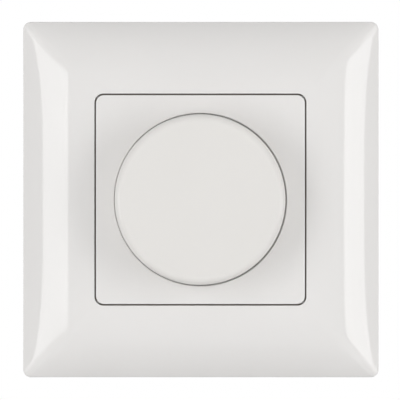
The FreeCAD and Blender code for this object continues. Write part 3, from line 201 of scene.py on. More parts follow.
def helical_ridge(radius, height, pitch, start, stop, steps):
    """A thread ridge round the Y axis: the angle turns once for each pitch of depth, and a
    triangle is carried along that helix, with its tip out by the height, its base sunk in by 0.3
    of it and 0.84 of the pitch wide. Over half a turn at each end it shrinks to a point."""
    turns = (stop - start) / pitch
    angle = np.linspace(0.0, 2 * math.pi * turns, int(steps * turns))[:, None]
    depth = start + pitch * angle / (2 * math.pi)
    taper = np.clip(np.minimum(angle, angle[-1] - angle) / math.pi, 0.0, 1.0)
    out = radius + height * np.array([[-0.3, 1.0, -0.3]]) * taper
    along = depth + pitch * np.array([[-0.42, 0.0, 0.42]]) * taper
    return close_ends(np.stack([out * np.cos(angle), along, out * np.sin(angle)], axis=-1))


def coil(radius, wire, start, stop, turns, steps, sides):
    """A compression spring round the Y axis: the angle turns evenly, the depth climbs from
    start to stop between a flat half turn at each end, and a circle of the wire's radius is
    carried along, with its cosine out from the axis and its sine along it."""
    angle = np.linspace(0.0, 2 * math.pi * turns, int(steps * turns))[:, None]
    climb = np.clip((angle - math.pi) / (angle[-1] - 2 * math.pi), 0.0, 1.0)
    round_wire = np.linspace(0.0, 2 * math.pi, sides, endpoint=False)[None, :]
    out = radius + wire * np.cos(round_wire)
    depth = start + wire + (stop - start - 2 * wire) * climb + wire * np.sin(round_wire)
    return close_ends(np.stack([out * np.cos(angle), depth, out * np.sin(angle)], axis=-1))


def make_piece(name, skins, body, finish, replaced=(), crease=30.0):
    """A smooth piece from closed skins. Points that coincide are merged, which closes poles,
    then the faces are turned outwards and edges sharper than the crease stay crisp."""
    points = np.concatenate([part[0] for part in skins])
    offsets = np.cumsum([0] + [len(part[0]) for part in skins[:-1]])
    faces = np.concatenate([part[1] + offset for part, offset in zip(skins, offsets)])
    mesh = bpy.data.meshes.new(name)
    mesh.from_pydata(points, [], faces.tolist())
    shape = bmesh.new()
    shape.from_mesh(mesh)
    bmesh.ops.remove_doubles(shape, verts=shape.verts, dist=1e-7)
    bmesh.ops.recalc_face_normals(shape, faces=shape.faces)
    shape.to_mesh(mesh)
    shape.free()
    mesh.shade_smooth()
    mesh.set_sharp_from_angle(angle=math.radians(crease))
    piece = bpy.data.objects.new(name, mesh)
    bpy.context.scene.collection.objects.link(piece)
    mesh.materials.append(finish)
    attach(piece, body)
    if replaced:
        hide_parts(*replaced)
    return piece


# Finishes

# The square groove between cover frame and centre plate: how near to and far from the axis it
# lies, between which depths behind the frame's front painted shade darkens it, over what depth
# the painted shade deepens, and how much of the plastic's colour it hides at most
GROOVE_INNER = 0.0248
GROOVE_OUTER = 0.0268
GAP_SHADE_TOP = 0.0003
GAP_SHADE_BOTTOM = 0.0026
GAP_SHADE_FADE = 0.0005
GAP_SHADE_SHARE = 0.85


class Signal:
    """An output of a shader node. Python's operators on it add Math nodes."""

    def __init__(self, recipe, socket):
        self.recipe = recipe
        self.socket = socket

    def maths(self, operation, first, second=0.0, clamp=False):
        """A Math node on numbers or signals."""
        return self.recipe.add("ShaderNodeMath", {"operation": operation, "use_clamp": clamp},
                               {0: first, 1: second})

    def __add__(self, other):
        return self.maths("ADD", self, other)

    def __radd__(self, other):
        return self.maths("ADD", other, self)

    def __sub__(self, other):
        return self.maths("SUBTRACT", self, other)

    def __rsub__(self, other):
        return self.maths("SUBTRACT", other, self)

    def __mul__(self, other):
        return self.maths("MULTIPLY", self, other)

    def __rmul__(self, other):
        return self.maths("MULTIPLY", other, self)

    def __truediv__(self, other):
        return self.maths("DIVIDE", self, other)

    def __rtruediv__(self, other):
        return self.maths("DIVIDE", other, self)

    def __gt__(self, other):
        return self.maths("GREATER_THAN", self, other)

    def __lt__(self, other):
        return self.maths("LESS_THAN", self, other)

    def __abs__(self):
        return self.maths("ABSOLUTE", self)

    def clamped(self):
        """The same number kept between 0 and 1."""
        return self.maths("ADD", self, 0.0, clamp=True)


def with_alpha(value):
    """A colour of three numbers gets the fourth that sockets take; anything else stays."""
    return (*value, 1.0) if isinstance(value, tuple) and len(value) == 3 else value


class Recipe:
    """Fills a node tree. Its methods add nodes and return their outputs."""

    def __init__(self, tree):
        self.tree = tree
        self.tree.nodes.clear()

    def add(self, kind, settings=None, inputs=None, output=0):
        """Any node: its settings first, then values or links for its sockets."""
        node = self.tree.nodes.new(kind)
        for name, value in (settings or {}).items():
            setattr(node, name, value)
        for name, value in (inputs or {}).items():
            if isinstance(value, Signal):
                self.tree.links.new(value.socket, node.inputs[name])
            else:
                node.inputs[name].default_value = value
        return Signal(self, node.outputs[output]) if node.outputs else None

    def place(self, scale=(1.0, 1.0, 1.0), centre=(0.0, 0.0, 0.0)):
        """Object coordinates, centred and stretched."""
        spot = self.add("ShaderNodeTexCoord", output="Object")
        shifted = self.add("ShaderNodeVectorMath", {"operation": "SUBTRACT"}, {0: spot, 1: centre})
        return self.add("ShaderNodeVectorMath", {"operation": "MULTIPLY"}, {0: shifted, 1: scale})

    def axes(self, vector):
        """The three numbers of a vector."""
        across = self.add("ShaderNodeSeparateXYZ", None, {0: vector})
        return [Signal(self, output) for output in across.socket.node.outputs]

    def noise(self, vector, scale, detail=2.0, roughness=0.5):
        """Soft noise from 0 to 1."""
        return self.add("ShaderNodeTexNoise", None,
                        {"Vector": vector, "Scale": scale, "Detail": detail,
                         "Roughness": roughness}, output="Fac")

    def cells(self, vector, scale):
        """Distance to the middles of random cells."""
        return self.add("ShaderNodeTexVoronoi", None, {"Vector": vector, "Scale": scale},
                        output="Distance")

    def blend(self, share, first, second):
        """A colour between two colours."""
        return self.add("ShaderNodeMix", {"data_type": "RGBA"},
                        {0: share, 6: with_alpha(first), 7: with_alpha(second)}, output=2)

    def bump(self, height, distance, strength=1.0):
        """A normal from a height between 0 and 1 that stands for a distance in metres."""
        return self.add("ShaderNodeBump", None,
                        {"Height": height, "Distance": distance, "Strength": strength})

    def surface(self, **inputs):
        """A Principled shader; the space in a socket's name is written as an underscore."""
        named = {name.replace("_", " "): with_alpha(value) for name, value in inputs.items()}
        shader = self.add("ShaderNodeBsdfPrincipled", None, named)
        self.add("ShaderNodeOutputMaterial", None, {"Surface": shader})


def new_finish(name):
    """A material and the recipe that fills it."""
    material = bpy.data.materials.new(name)
    material.use_nodes = True
    return material, Recipe(material.node_tree)


def shade(colour, factor):
    """A colour made lighter or darker."""
    return tuple(min(channel * factor, 1.0) for channel in colour)


def box_middle(box):
    """The middle between two corners."""
    return tuple((low + high) / 2 for low, high in zip(*box))


def gloss_plastic(name, colour, roughness, painted_gap_shade=None):
    """Polished moulded plastic: a nearly even colour with faint flow, a slight haze that
    varies, and the long shallow waves that a polished mould leaves. Given a colour, painted
    shade darkens the groove between the cover frame and the centre plate."""
    material, recipe = new_finish(name)
    spot = recipe.place()
    flow = recipe.noise(spot, 45.0)
    haze = recipe.noise(spot, 220.0, detail=3.0)
    waves = recipe.noise(spot, 420.0, detail=1.0)
    tone = recipe.blend(flow, shade(colour, 0.985), shade(colour, 1.015))
    # Painted shade: inside the groove behind the frame's front the colour darkens towards the
    # given one
    if painted_gap_shade:
        across, depth, up = recipe.axes(spot)
        sideways = across.maths("MAXIMUM", abs(across), abs(up))
        groove = (sideways > GROOVE_INNER) * (sideways < GROOVE_OUTER)
        gap_shade_zone = groove * (depth < FRAME_LOW.y + GAP_SHADE_BOTTOM)
        # How much of the plastic's colour the painted shade covers, deepening behind the front
        cover = ((depth - (FRAME_LOW.y + GAP_SHADE_TOP)) / GAP_SHADE_FADE).clamped() * gap_shade_zone
        tone = recipe.blend(cover * GAP_SHADE_SHARE, tone, painted_gap_shade)
    recipe.surface(Base_Color=tone,
                   Roughness=haze * 0.03 + (roughness - 0.015),
                   Normal=recipe.bump(waves, 0.0000012),
                   IOR=1.5)
    return material


def textured_plastic(name, colour, roughness, grain, depth):
    """Plastic from a spark-eroded mould: fine pits, and a duller look where they are deep. The
    grain is about the number of pits in a metre, and depth is theirs."""
    material, recipe = new_finish(name)
    spot = recipe.place()
    pits = recipe.cells(spot, grain)
    cloud = recipe.noise(spot, 70.0, detail=3.0)
    tone = recipe.blend((cloud * 0.6 + pits * 0.4).clamped(), shade(colour, 0.88),
                        shade(colour, 1.12))
    recipe.surface(Base_Color=tone, Roughness=(roughness + 0.12) - pits * 0.2,
                   Normal=recipe.bump(pits, depth), IOR=1.5)
    return material


def plated_steel(name, colour, roughness, lay=(1.0, 1.0, 1.0)):
    """Zinc-plated steel: cloudy plating, a pale bloom in places, and fine marks that follow
    the rolling direction."""
    material, recipe = new_finish(name)
    cloud = recipe.noise(recipe.place(), 160.0, detail=4.0)
    marks = recipe.noise(recipe.place(scale=lay), 2600.0, detail=2.0)
    bloom = ((cloud - 0.52) * 5.0).clamped()
    tone = recipe.blend((marks * 0.5 + cloud * 0.5).clamped(), shade(colour, 0.86),
                        shade(colour, 1.1))
    recipe.surface(Base_Color=tone, Metallic=1.0 - bloom * 0.12,
                   Roughness=(roughness - 0.08) + marks * 0.12 + bloom * 0.1,
                   Normal=recipe.bump(marks, 0.000004))
    return material


def turned_metal(name, colour, roughness):
    """Bright turned metal with a faint tarnish."""
    material, recipe = new_finish(name)
    cloud = recipe.noise(recipe.place(), 260.0, detail=3.0)
    rings = recipe.noise(recipe.place(scale=(0.02, 1.0, 0.02)), 9000.0, detail=1.0)
    recipe.surface(Base_Color=recipe.blend(cloud, shade(colour, 0.8), colour),
                   Metallic=0.97 + cloud * 0.03,
                   Roughness=roughness + cloud * 0.12,
                   Normal=recipe.bump(rings, 0.000003))
    return material


def circuit_laminate(name, colour):
    """Brown hard paper under a green solder mask, with copper tracks that show through."""
    material, recipe = new_finish(name)
    fibres = recipe.noise(recipe.place(scale=(1.0, 1.0, 0.2)), 1500.0, detail=3.0)
    lanes = recipe.noise(recipe.place(scale=(1.0, 0.0, 0.25)), 210.0, detail=0.0)
    lands = recipe.noise(recipe.place(scale=(0.3, 0.0, 1.0)), 180.0, detail=0.0)
    track_half = 0.035
    track = ((abs(lanes - 0.5) < track_half) + (abs(lands - 0.5) < track_half)).clamped()
    base = recipe.blend(fibres, shade(colour, 0.8), shade(colour, 1.15))
    tone = recipe.blend(track, base, shade(colour, 1.9))
    recipe.surface(Base_Color=tone, Roughness=0.42 + fibres * 0.12,
                   Normal=recipe.bump(track, 0.000035), IOR=1.5)
    return material


def banded_resistors(name, body, bands, box, length):
    """Lacquered resistors with leads: a plain body, coloured bands across it, each at its share
    of the length, and tinned wire beyond the body."""
    material, recipe = new_finish(name)
    _, _, along = recipe.axes(recipe.place(centre=box_middle(box)))
    share = along / length
    band_half, body_half = 0.035, 0.49
    tone = body
    for place, colour in bands:
        tone = recipe.blend(abs(share - place) < band_half, tone, colour)
    wire = abs(share) > body_half
    spread = recipe.noise(recipe.place(), 700.0)
    tone = recipe.blend(spread * 0.25, tone, shade(body, 0.75))
    tone = recipe.blend(wire, tone, (0.72, 0.72, 0.70))
    recipe.surface(Base_Color=tone, Metallic=wire, Roughness=0.28 + spread * 0.1)
    return material


def capped_glass(name, box, cap):
    """The fuse: nickel caps at both ends and a glass tube between them, with the pale sand
    filling showing through."""
    material, recipe = new_finish(name)
    across, _, _ = recipe.axes(recipe.place(centre=box_middle(box)))
    half = (box[1][0] - box[0][0]) / 2
    metal = abs(across) > (half - cap)
    grains = recipe.noise(recipe.place(), 1500.0, detail=3.0)
    filling = recipe.blend(grains, (0.55, 0.53, 0.48), (0.86, 0.85, 0.81))
    recipe.surface(Base_Color=recipe.blend(metal, filling, (0.66, 0.65, 0.62)),
                   Metallic=metal, Roughness=0.08 + metal * 0.16,
                   Coat_Weight=1.0 - metal)
    return material


def wound_copper(name, colour):
    """Enamelled copper wire, a little darker where the enamel is thick."""
    material, recipe = new_finish(name)
    drip = recipe.noise(recipe.place(), 900.0)
    recipe.surface(Base_Color=recipe.blend(drip, shade(colour, 0.7), colour),
                   Metallic=0.9 + drip * 0.1, Roughness=0.22 + drip * 0.12, Coat_Weight=0.6)
    return material


# Settings

class FinishColours(bpy.types.PropertyGroup):
    """Colours of the finishes."""

    white: FloatVectorProperty(
        name="White", description="Colour of the cover frame and the centre plate",
        subtype="COLOR", size=3, min=0.0, max=1.0, default=(0.85, 0.835, 0.82))
    knob: FloatVectorProperty(
        name="Knob", description="Colour of the knob",
        subtype="COLOR", size=3, min=0.0, max=1.0, default=(0.83, 0.812, 0.785))
    gloss: FloatProperty(
        name="Gloss roughness", description="Roughness of the polished plastic",
        subtype="FACTOR", min=0.02, max=1.0, default=0.06)
    steel: FloatVectorProperty(
        name="Plated steel", description="Colour of the zinc plating",
        subtype="COLOR", size=3, min=0.0, max=1.0, default=(0.62, 0.63, 0.62))
    housing: FloatVectorProperty(
        name="Housing", description="Colour of the insert's cup",
        subtype="COLOR", size=3, min=0.0, max=1.0, default=(0.055, 0.057, 0.06))
    lid: FloatVectorProperty(
        name="Lid", description="Colour of the insert's lid",
        subtype="COLOR", size=3, min=0.0, max=1.0, default=(0.42, 0.42, 0.41))
    brass: FloatVectorProperty(
        name="Brass", description="Colour of brass parts",
        subtype="COLOR", size=3, min=0.0, max=1.0, default=(0.78, 0.6, 0.3))
    # Colour of the painted shade in the groove between cover frame and centre plate
    painted_gap_shade: FloatVectorProperty(
        name="Gap shade", description="Colour of the dust between cover frame and centre plate",
        subtype="COLOR", size=3, min=0.0, max=1.0, default=(0.19, 0.11, 0.06))


class CoverFrameSizes(bpy.types.PropertyGroup):
    """Sizes of the cushion-shaped cover frame."""

    width: FloatProperty(
        name="Width", description="Outer width and height", unit="LENGTH",
        default=FRAME_HIGH.x - FRAME_LOW.x)
    depth: FloatProperty(
        name="Depth", description="From the wall to the flat front", unit="LENGTH",
        default=-FRAME_LOW.y)
    flat_half: FloatProperty(
        name="Flat", description="Half width of the flat front", unit="LENGTH", default=0.026)
    flank_drop: FloatProperty(
        name="Flank drop", description="How far the arched flank falls to the rim",
        unit="LENGTH", default=0.007)
    rim_round: FloatProperty(
        name="Rim round", description="Radius where the flank meets the side", unit="LENGTH",
        default=0.001)
    corner: FloatProperty(
        name="Corner", description="Radius of the outer corners, the most for a mitre",
        unit="LENGTH", default=0.0019)
    mitre_round: FloatProperty(
        name="Mitre round", description="Corner radius of the flank, for each sine of its slope",
        unit="LENGTH", default=0.0048)
    wall: FloatProperty(
        name="Wall", description="Wall thickness", unit="LENGTH", default=0.002)
    opening_half: FloatProperty(
        name="Opening", description="Half width of the opening", unit="LENGTH",
        default=0.0253)
    opening_corner: FloatProperty(
        name="Opening corner", description="Corner radius of the opening", unit="LENGTH",
        default=0.00215)
    edge_round: FloatProperty(
        name="Edge round", description="Radius of the opening's front edge", unit="LENGTH",
        default=0.00018)
    collar_half: FloatProperty(
        name="Collar", description="Half width inside the collar behind the opening",
        unit="LENGTH", default=0.02815)
    rib_thick: FloatProperty(
        name="Rib", description="Thickness of the ribs and the collar", unit="LENGTH",
        default=0.0012)
    rib_reach: FloatProperty(
        name="Rib reach", description="How far ribs and collar stand back from the front wall",
        unit="LENGTH", default=0.0032)
    corner_lift: FloatProperty(
        name="Corner lift", description="How far the flank's corners rise", unit="LENGTH",
        default=0.0019)
    lift_start: FloatProperty(
        name="Lift start", description="Half width from which the corners start to rise",
        unit="LENGTH", default=0.034)


class CentrePlateSizes(bpy.types.PropertyGroup):
    """Sizes of the centre plate."""

    half: FloatProperty(
        name="Half width", description="Half width of the front", unit="LENGTH", default=0.02494)
    corner: FloatProperty(
        name="Corner", description="Corner radius", unit="LENGTH", default=0.0019)
    edge_round: FloatProperty(
        name="Edge round", description="Radius of the front edge", unit="LENGTH",
        default=0.0002)
    wall: FloatProperty(
        name="Wall", description="Wall thickness", unit="LENGTH", default=0.0016)
    side_depth: FloatProperty(
        name="Side depth", description="How far the sides reach back", unit="LENGTH",
        default=0.0052)
    recess_radius: FloatProperty(
        name="Recess radius", description="Radius of the knob's recess", unit="LENGTH",
        default=0.02061)
    recess_edge: FloatProperty(
        name="Recess edge", description="Radius of the recess's front edge", unit="LENGTH",
        default=0.00015)
    recess_depth: FloatProperty(
        name="Recess depth", description="Depth of the knob's recess", unit="LENGTH",
        default=0.0024)
    hole_radius: FloatProperty(
        name="Hole", description="Radius of the hole for the bush", unit="LENGTH",
        default=0.0051)
    sleeve_radius: FloatProperty(
        name="Sleeve", description="Inner radius of the sleeve behind the recess",
        unit="LENGTH", default=NUT_HALF / math.cos(math.pi / 6) + NUT_ROOM)
    sleeve_wall: FloatProperty(
        name="Sleeve wall", description="Wall of the sleeve", unit="LENGTH", default=0.0018)


class KnobSizes(bpy.types.PropertyGroup):
    """Sizes of the knob."""

    radius: FloatProperty(
        name="Radius", description="Radius at the rim", unit="LENGTH", default=KNOB_HIGH.x)
    draft: FloatProperty(
        name="Draft", description="How much smaller the front is", unit="LENGTH",
        default=0.00015)
    edge_round: FloatProperty(
        name="Edge round", description="Radius of the front edge", unit="LENGTH",
        default=0.0017)
    wall: FloatProperty(
        name="Wall", description="Thickness of the side wall", unit="LENGTH", default=0.0018)
    face: FloatProperty(
        name="Face", description="Thickness of the front wall", unit="LENGTH", default=0.002)
    hub_radius: FloatProperty(
        name="Hub", description="Radius of the hub", unit="LENGTH", default=0.005)
    hub_back: FloatProperty(
        name="Hub back", description="Depth of the hub's end", unit="LENGTH", default=-0.0124)
    bore: FloatProperty(
        name="Bore", description="Radius of the hub's bore", unit="LENGTH", default=0.00305)
    bore_flat: FloatProperty(
        name="Bore flat", description="Height of the bore's flat above the axis",
        unit="LENGTH", default=0.002)
    rib_count: IntProperty(
        name="Ribs", description="Number of ribs behind the face", default=8, min=0)
    rib_thick: FloatProperty(
        name="Rib thickness", description="Thickness of a rib", unit="LENGTH",
        default=0.0012)
    rib_height: FloatProperty(
        name="Rib height", description="How far the ribs stand behind the face",
        unit="LENGTH", default=0.003)


class ThreadSizes(bpy.types.PropertyGroup):
    """Sizes of the claw screws' threads."""

    pitch: FloatProperty(
        name="Pitch", description="Distance between turns", unit="LENGTH", default=0.0006)
    height: FloatProperty(
        name="Height", description="How far a ridge stands out", unit="LENGTH",
        default=0.00014)
    radius: FloatProperty(
        name="Core", description="Radius of the screw's core", unit="LENGTH", default=0.0015)


class SpringSizes(bpy.types.PropertyGroup):
    """Sizes of the return spring."""

    wire: FloatProperty(
        name="Wire", description="Radius of the wire", unit="LENGTH", default=0.0003)
    turns: FloatProperty(
        name="Turns", description="Turns of the wire", default=4.0, min=2.0)
    travel: FloatProperty(
        name="Travel", description="How far the plunger pushes it together", unit="LENGTH",
        default=0.0015)


class StageSizes(bpy.types.PropertyGroup):
    """Camera, lights and floor."""

    distance: FloatProperty(
        name="Distance", description="From the camera to the dimmer", unit="LENGTH",
        default=3.6)
    azimuth: FloatProperty(
        name="Azimuth", description="How far the camera stands to the right",
        subtype="ANGLE", default=math.radians(0.95))
    view_width: FloatProperty(
        name="View width", description="Width that the picture covers at the frame's front",
        unit="LENGTH", default=0.0955)
    light_distance: FloatProperty(
        name="Light distance", description="From the dimmer to the side lights",
        unit="LENGTH", default=0.6)
    radiance: FloatProperty(
        name="Light strength", description="Radiance of which each light has its share",
        min=0.0, default=3.9)
    fill: FloatProperty(
        name="Fill", description="Strength of the even light from all round", min=0.0,
        default=0.41)
    floor_drop: FloatProperty(
        name="Floor", description="Depth of the floor below the dimmer's middle",
        unit="LENGTH", default=0.8)
    floor_half: FloatProperty(
        name="Floor half", description="Half width of the floor", unit="LENGTH", default=0.7)


class DimmerSettings(bpy.types.PropertyGroup):
    """All settings of the dimmer."""

    colours: PointerProperty(type=FinishColours)
    cover_frame: PointerProperty(type=CoverFrameSizes)
    centre_plate: PointerProperty(type=CentrePlateSizes)
    knob: PointerProperty(type=KnobSizes)
    thread: PointerProperty(type=ThreadSizes)
    spring: PointerProperty(type=SpringSizes)
    stage: PointerProperty(type=StageSizes)


# Pieces

def white_finish(name, colours):
    """The white of the cover frame and the centre plate, with painted shade in their groove."""
    return gloss_plastic(name, tuple(colours.white), colours.gloss, tuple(colours.painted_gap_shade))


class DIMMER_OT_cover_frame(bpy.types.Operator):
    """Build the cover frame with its collar and ribs"""

    bl_idname = "dimmer.cover_frame"
    bl_label = "Cover frame"

    def execute(self, context):
        sizes = context.scene.dimmer.cover_frame
        outer = sizes.width / 2
        front = -sizes.depth
        flat = sizes.flat_half
        run = outer - flat
        radius = (run ** 2 + sizes.flank_drop ** 2) / (2 * sizes.flank_drop)
        centre = front + radius
        inner = outer - sizes.wall
        inner_radius = radius - sizes.wall
        inner_top = front + sizes.wall
        inner_rim = centre - math.sqrt(inner_radius ** 2 - (inner - flat) ** 2)
        inner_end = -math.degrees(math.acos((inner - flat) / inner_radius))
        fillet = sizes.rim_round
        fillet_depth = centre - math.sqrt((radius - fillet) ** 2 - (run - fillet) ** 2)
        meeting = math.degrees(math.atan2(fillet_depth - centre, run - fillet))
        tilt = np.radians(np.linspace(0.0, meeting + 90, FLANK_ROWS))
        opening = sizes.opening_half
        edge = sizes.edge_round

        opening_wall = np.concatenate([
            stations(line((opening, inner_top), (opening, front + edge), 4),
                     sizes.opening_corner),
            stations(arc(opening + edge, front + edge, edge, 180, 270, 9),
                     sizes.opening_corner),
        ])

        # A row just past each round, here at 1.05 of its radius, keeps the flat beside it flat
        # in smooth shading. Over the flat front the opening's corner radius fades out, because
        # the mitres start sharp.
        face = np.concatenate([
            stations(line((opening + edge * 1.05, front), (flat, front), 4),
                     sizes.opening_corner * np.linspace(1.0, 0.05, 4)),
            stations(arc(flat, centre, radius, -90, meeting, FLANK_ROWS),
                     np.minimum(sizes.mitre_round * np.sin(tilt), sizes.corner)),
            stations(arc(outer - fillet, fillet_depth, fillet, meeting, 0, 10), sizes.corner),
        ])
        behind = np.concatenate([
            stations(line((outer, fillet_depth + 0.00005), (outer, -BACK_ROUND), 3),
                     sizes.corner),
            stations(arc(outer - BACK_ROUND, -BACK_ROUND, BACK_ROUND, 0, 90, 4), sizes.corner),
            stations(line((outer - BACK_FLAT, 0.0), (inner, 0.0), 3), sizes.corner / 2),
            stations(line((inner, 0.0), (inner, inner_rim), 3), sizes.corner / 4),
            stations(arc(flat, centre, inner_radius, inner_end, -90, 28), sizes.corner / 4),
        ])
        angles = ray_angles(side_steps=44, corner_steps=24, corner_band=math.radians(3.2))
        moulding = rounded_square(np.concatenate([opening_wall, face, behind]), angles)

        # The face rises towards its corners: the lift times the smaller over the larger of
        # |cos| and |sin| to the fourth power, times the square of the way out from lift_start
        wide, narrow = side_cosines(angles)
        way = np.clip((face[:, [0]] - sizes.lift_start) / (outer - sizes.lift_start), 0.0, 1.0)
        raised = slice(len(opening_wall), len(opening_wall) + len(face))
        moulding[raised, :, 1] -= sizes.corner_lift * (narrow / wide) ** 4 * way ** 2

        collar_outer = sizes.collar_half + sizes.rib_thick
        back = inner_top + sizes.rib_reach
        root = inner_top - sizes.wall / 4
        collar = stations([(sizes.collar_half, root), (sizes.collar_half, back),
                           (collar_outer, back), (collar_outer, root)], sizes.corner)
        skins = [skin(moulding), skin(rounded_square(collar, angles))]

        reach = flat + math.sqrt(inner_radius ** 2 - (centre - back) ** 2)
        across = np.linspace(collar_outer - COLLAR_OVERLAP, reach, 14)
        ceiling = centre - np.sqrt(np.maximum(inner_radius ** 2 - (across - flat) ** 2, 0.0))
        rib_front = np.minimum(ceiling - sizes.wall / 4, back)
        rib_back = np.full_like(across, back)
        for share in RIB_PLACES:
            low = share * sizes.collar_half - sizes.rib_thick / 2
            rib = bar(across[0], across[-1], low, low + sizes.rib_thick, rib_front, rib_back)
            skins += [skin(copy, close_rows=False) for copy in turned_copies(rib, 4)]
        colours = context.scene.dimmer.colours
        make_piece("frame_moulding", skins, "base",
                   white_finish("frame_white", colours), ["cover_frame"])
        return {"FINISHED"}


class DIMMER_OT_centre_plate(bpy.types.Operator):
    """Build the centre plate with its recess, flange and sleeve"""

    bl_idname = "dimmer.centre_plate"
    bl_label = "Centre plate"

    def execute(self, context):
        sizes = context.scene.dimmer.centre_plate
        front = PLATE_LOW.y
        flange = PLATE_HIGH.x
        back = PLATE_HIGH.y
        side_back = front + sizes.side_depth
        floor = front + sizes.recess_depth
        floor_back = floor + sizes.wall
        half = sizes.half
        edge = sizes.edge_round
        lip = sizes.recess_edge
        recess = sizes.recess_radius
        sleeve = sizes.sleeve_radius
        skirt = half - sizes.wall

        square_front = np.concatenate([
            stations([(half, floor)], sizes.corner),
            stations([(half, front + edge * 1.1)], sizes.corner),
            stations(arc(half - edge, front + edge, edge, 0, -90, 9),
                     sizes.corner - edge * np.linspace(0.0, 1.0, 9)),
            stations([(half - edge * 1.1, front)], sizes.corner - edge),
        ])
        dish = round_stations(np.concatenate([
            line((recess + lip * 1.5, front), (recess + lip, front)),
            arc(recess + lip, front + lip, lip, -90, -180, 5),
            line((recess, front + lip * 1.5), (recess, floor), 4),
            line((recess, floor), (sizes.hole_radius, floor), 4),
            line((sizes.hole_radius, floor), (sizes.hole_radius, floor_back)),
            line((sizes.hole_radius, floor_back), (sleeve, floor_back)),
            line((sleeve, floor_back), (sleeve, back), 3),
            line((sleeve, back), (sleeve + sizes.sleeve_wall, back)),
            line((sleeve + sizes.sleeve_wall, back), (sleeve + sizes.sleeve_wall, floor_back), 3),
        ]))
        square_back = stations([(skirt, floor_back), (skirt, side_back), (half, side_back),
                                (half, floor_back), (flange, floor_back), (flange, floor)],
                               sizes.corner)
        profile = np.concatenate([square_front, dish, square_back])
        angles = ray_angles(side_steps=44, corner_steps=28, corner_band=math.radians(4.5))
        skins = [skin(rounded_square(profile, angles))]
        colours = context.scene.dimmer.colours
        make_piece("plate_moulding", skins, "base",
                   white_finish("plate_white", colours), ["centre_plate"])
        return {"FINISHED"}


class DIMMER_OT_knob(bpy.types.Operator):
    """Build the knob with its hub and ribs"""

    bl_idname = "dimmer.knob"
    bl_label = "Knob"

    def execute(self, context):
        sizes = context.scene.dimmer.knob
        front, rim = KNOB_LOW.y, KNOB_HIGH.y
        inside = front + sizes.face
        top = sizes.radius - sizes.draft
        edge = sizes.edge_round
        inner = sizes.radius - sizes.wall
        profile = round_stations(np.concatenate([
            line((0.0, front), (top - edge * 1.02, front), 8),
            arc(top - edge, front + edge, edge, -90, 0, 19),
            line((top, front + edge * 1.05), (sizes.radius, rim - BACK_ROUND), 4),
            arc(sizes.radius - BACK_ROUND, rim - BACK_ROUND, BACK_ROUND, 0, 90, 4),
            line((sizes.radius - BACK_FLAT, rim), (inner, rim)),
            line((inner, rim), (inner, inside), 3),
            line((inner, inside), (sizes.hub_radius, inside), 3),
            line((sizes.hub_radius, inside), (sizes.hub_radius, sizes.hub_back), 3),
            line((sizes.hub_radius, sizes.hub_back), (sizes.bore, sizes.hub_back)),
            line((sizes.bore, sizes.hub_back), (sizes.bore, inside), 3),
            line((sizes.bore, inside), (0.0, inside)),
        ]))
        angles = np.linspace(0, 2 * math.pi, KNOB_COLUMNS, endpoint=False)
        points = rounded_square(profile, angles)

        # The rows of the bore, as wide as the last but one, are cut off at its flat
        bored = np.flatnonzero(profile[:, 0] == profile[-2, 0])
        points[bored, :, 2] = np.minimum(points[bored, :, 2], sizes.bore_flat)

        skins = [skin(points, close_rows=False)]
        root = np.full(2, inside - sizes.face / 4)
        rib = bar(sizes.hub_radius - HUB_OVERLAP, inner + sizes.wall / 4, -sizes.rib_thick / 2,
                  sizes.rib_thick / 2, root, np.full(2, inside + sizes.rib_height))
        skins += [skin(copy, close_rows=False) for copy in turned_copies(rib, sizes.rib_count)]
        colours = context.scene.dimmer.colours
        make_piece("knob_moulding", skins, "knob_cap",
                   gloss_plastic("knob_white", tuple(colours.knob), colours.gloss), ["knob"])
        return {"FINISHED"}


class DIMMER_OT_threads(bpy.types.Operator):
    """Add the threads of the two claw screws"""

    bl_idname = "dimmer.threads"
    bl_label = "Claw screw threads"

    def execute(self, context):
        sizes = context.scene.dimmer.thread
        finish = bpy.data.materials["screw_plating"]
        for side in ("right", "left"):
            low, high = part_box(f"claw_screw_{side}")
            middle = np.array([(low.x + high.x) / 2, 0.0, (low.z + high.z) / 2])
            ridge = helical_ridge(sizes.radius, sizes.height, sizes.pitch,
                                  SUPPORT_FRONT + THREAD_LEAD, high.y - THREAD_END, steps=24)
            ridge += middle
            make_piece(f"claw_thread_{side}", [skin(ridge, close_rows=False)],
                       f"{side}_claw_screw", finish)
        return {"FINISHED"}


class DIMMER_OT_return_spring(bpy.types.Operator):
    """Build the return spring as a coil with a mesh of its own"""

    bl_idname = "dimmer.return_spring"
    bl_label = "Return spring"

    def execute(self, context):
        sizes = context.scene.dimmer.spring
        low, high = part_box("return_spring")
        ring = coil(high.x - sizes.wire, sizes.wire, low.y, high.y, sizes.turns, steps=48,
                    sides=10)
        spring = make_piece("return_coil", [skin(ring, close_rows=False)], "base",
                            bpy.data.materials["screw_plating"], ["return_spring"], crease=60.0)
        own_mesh(spring)
        return {"FINISHED"}


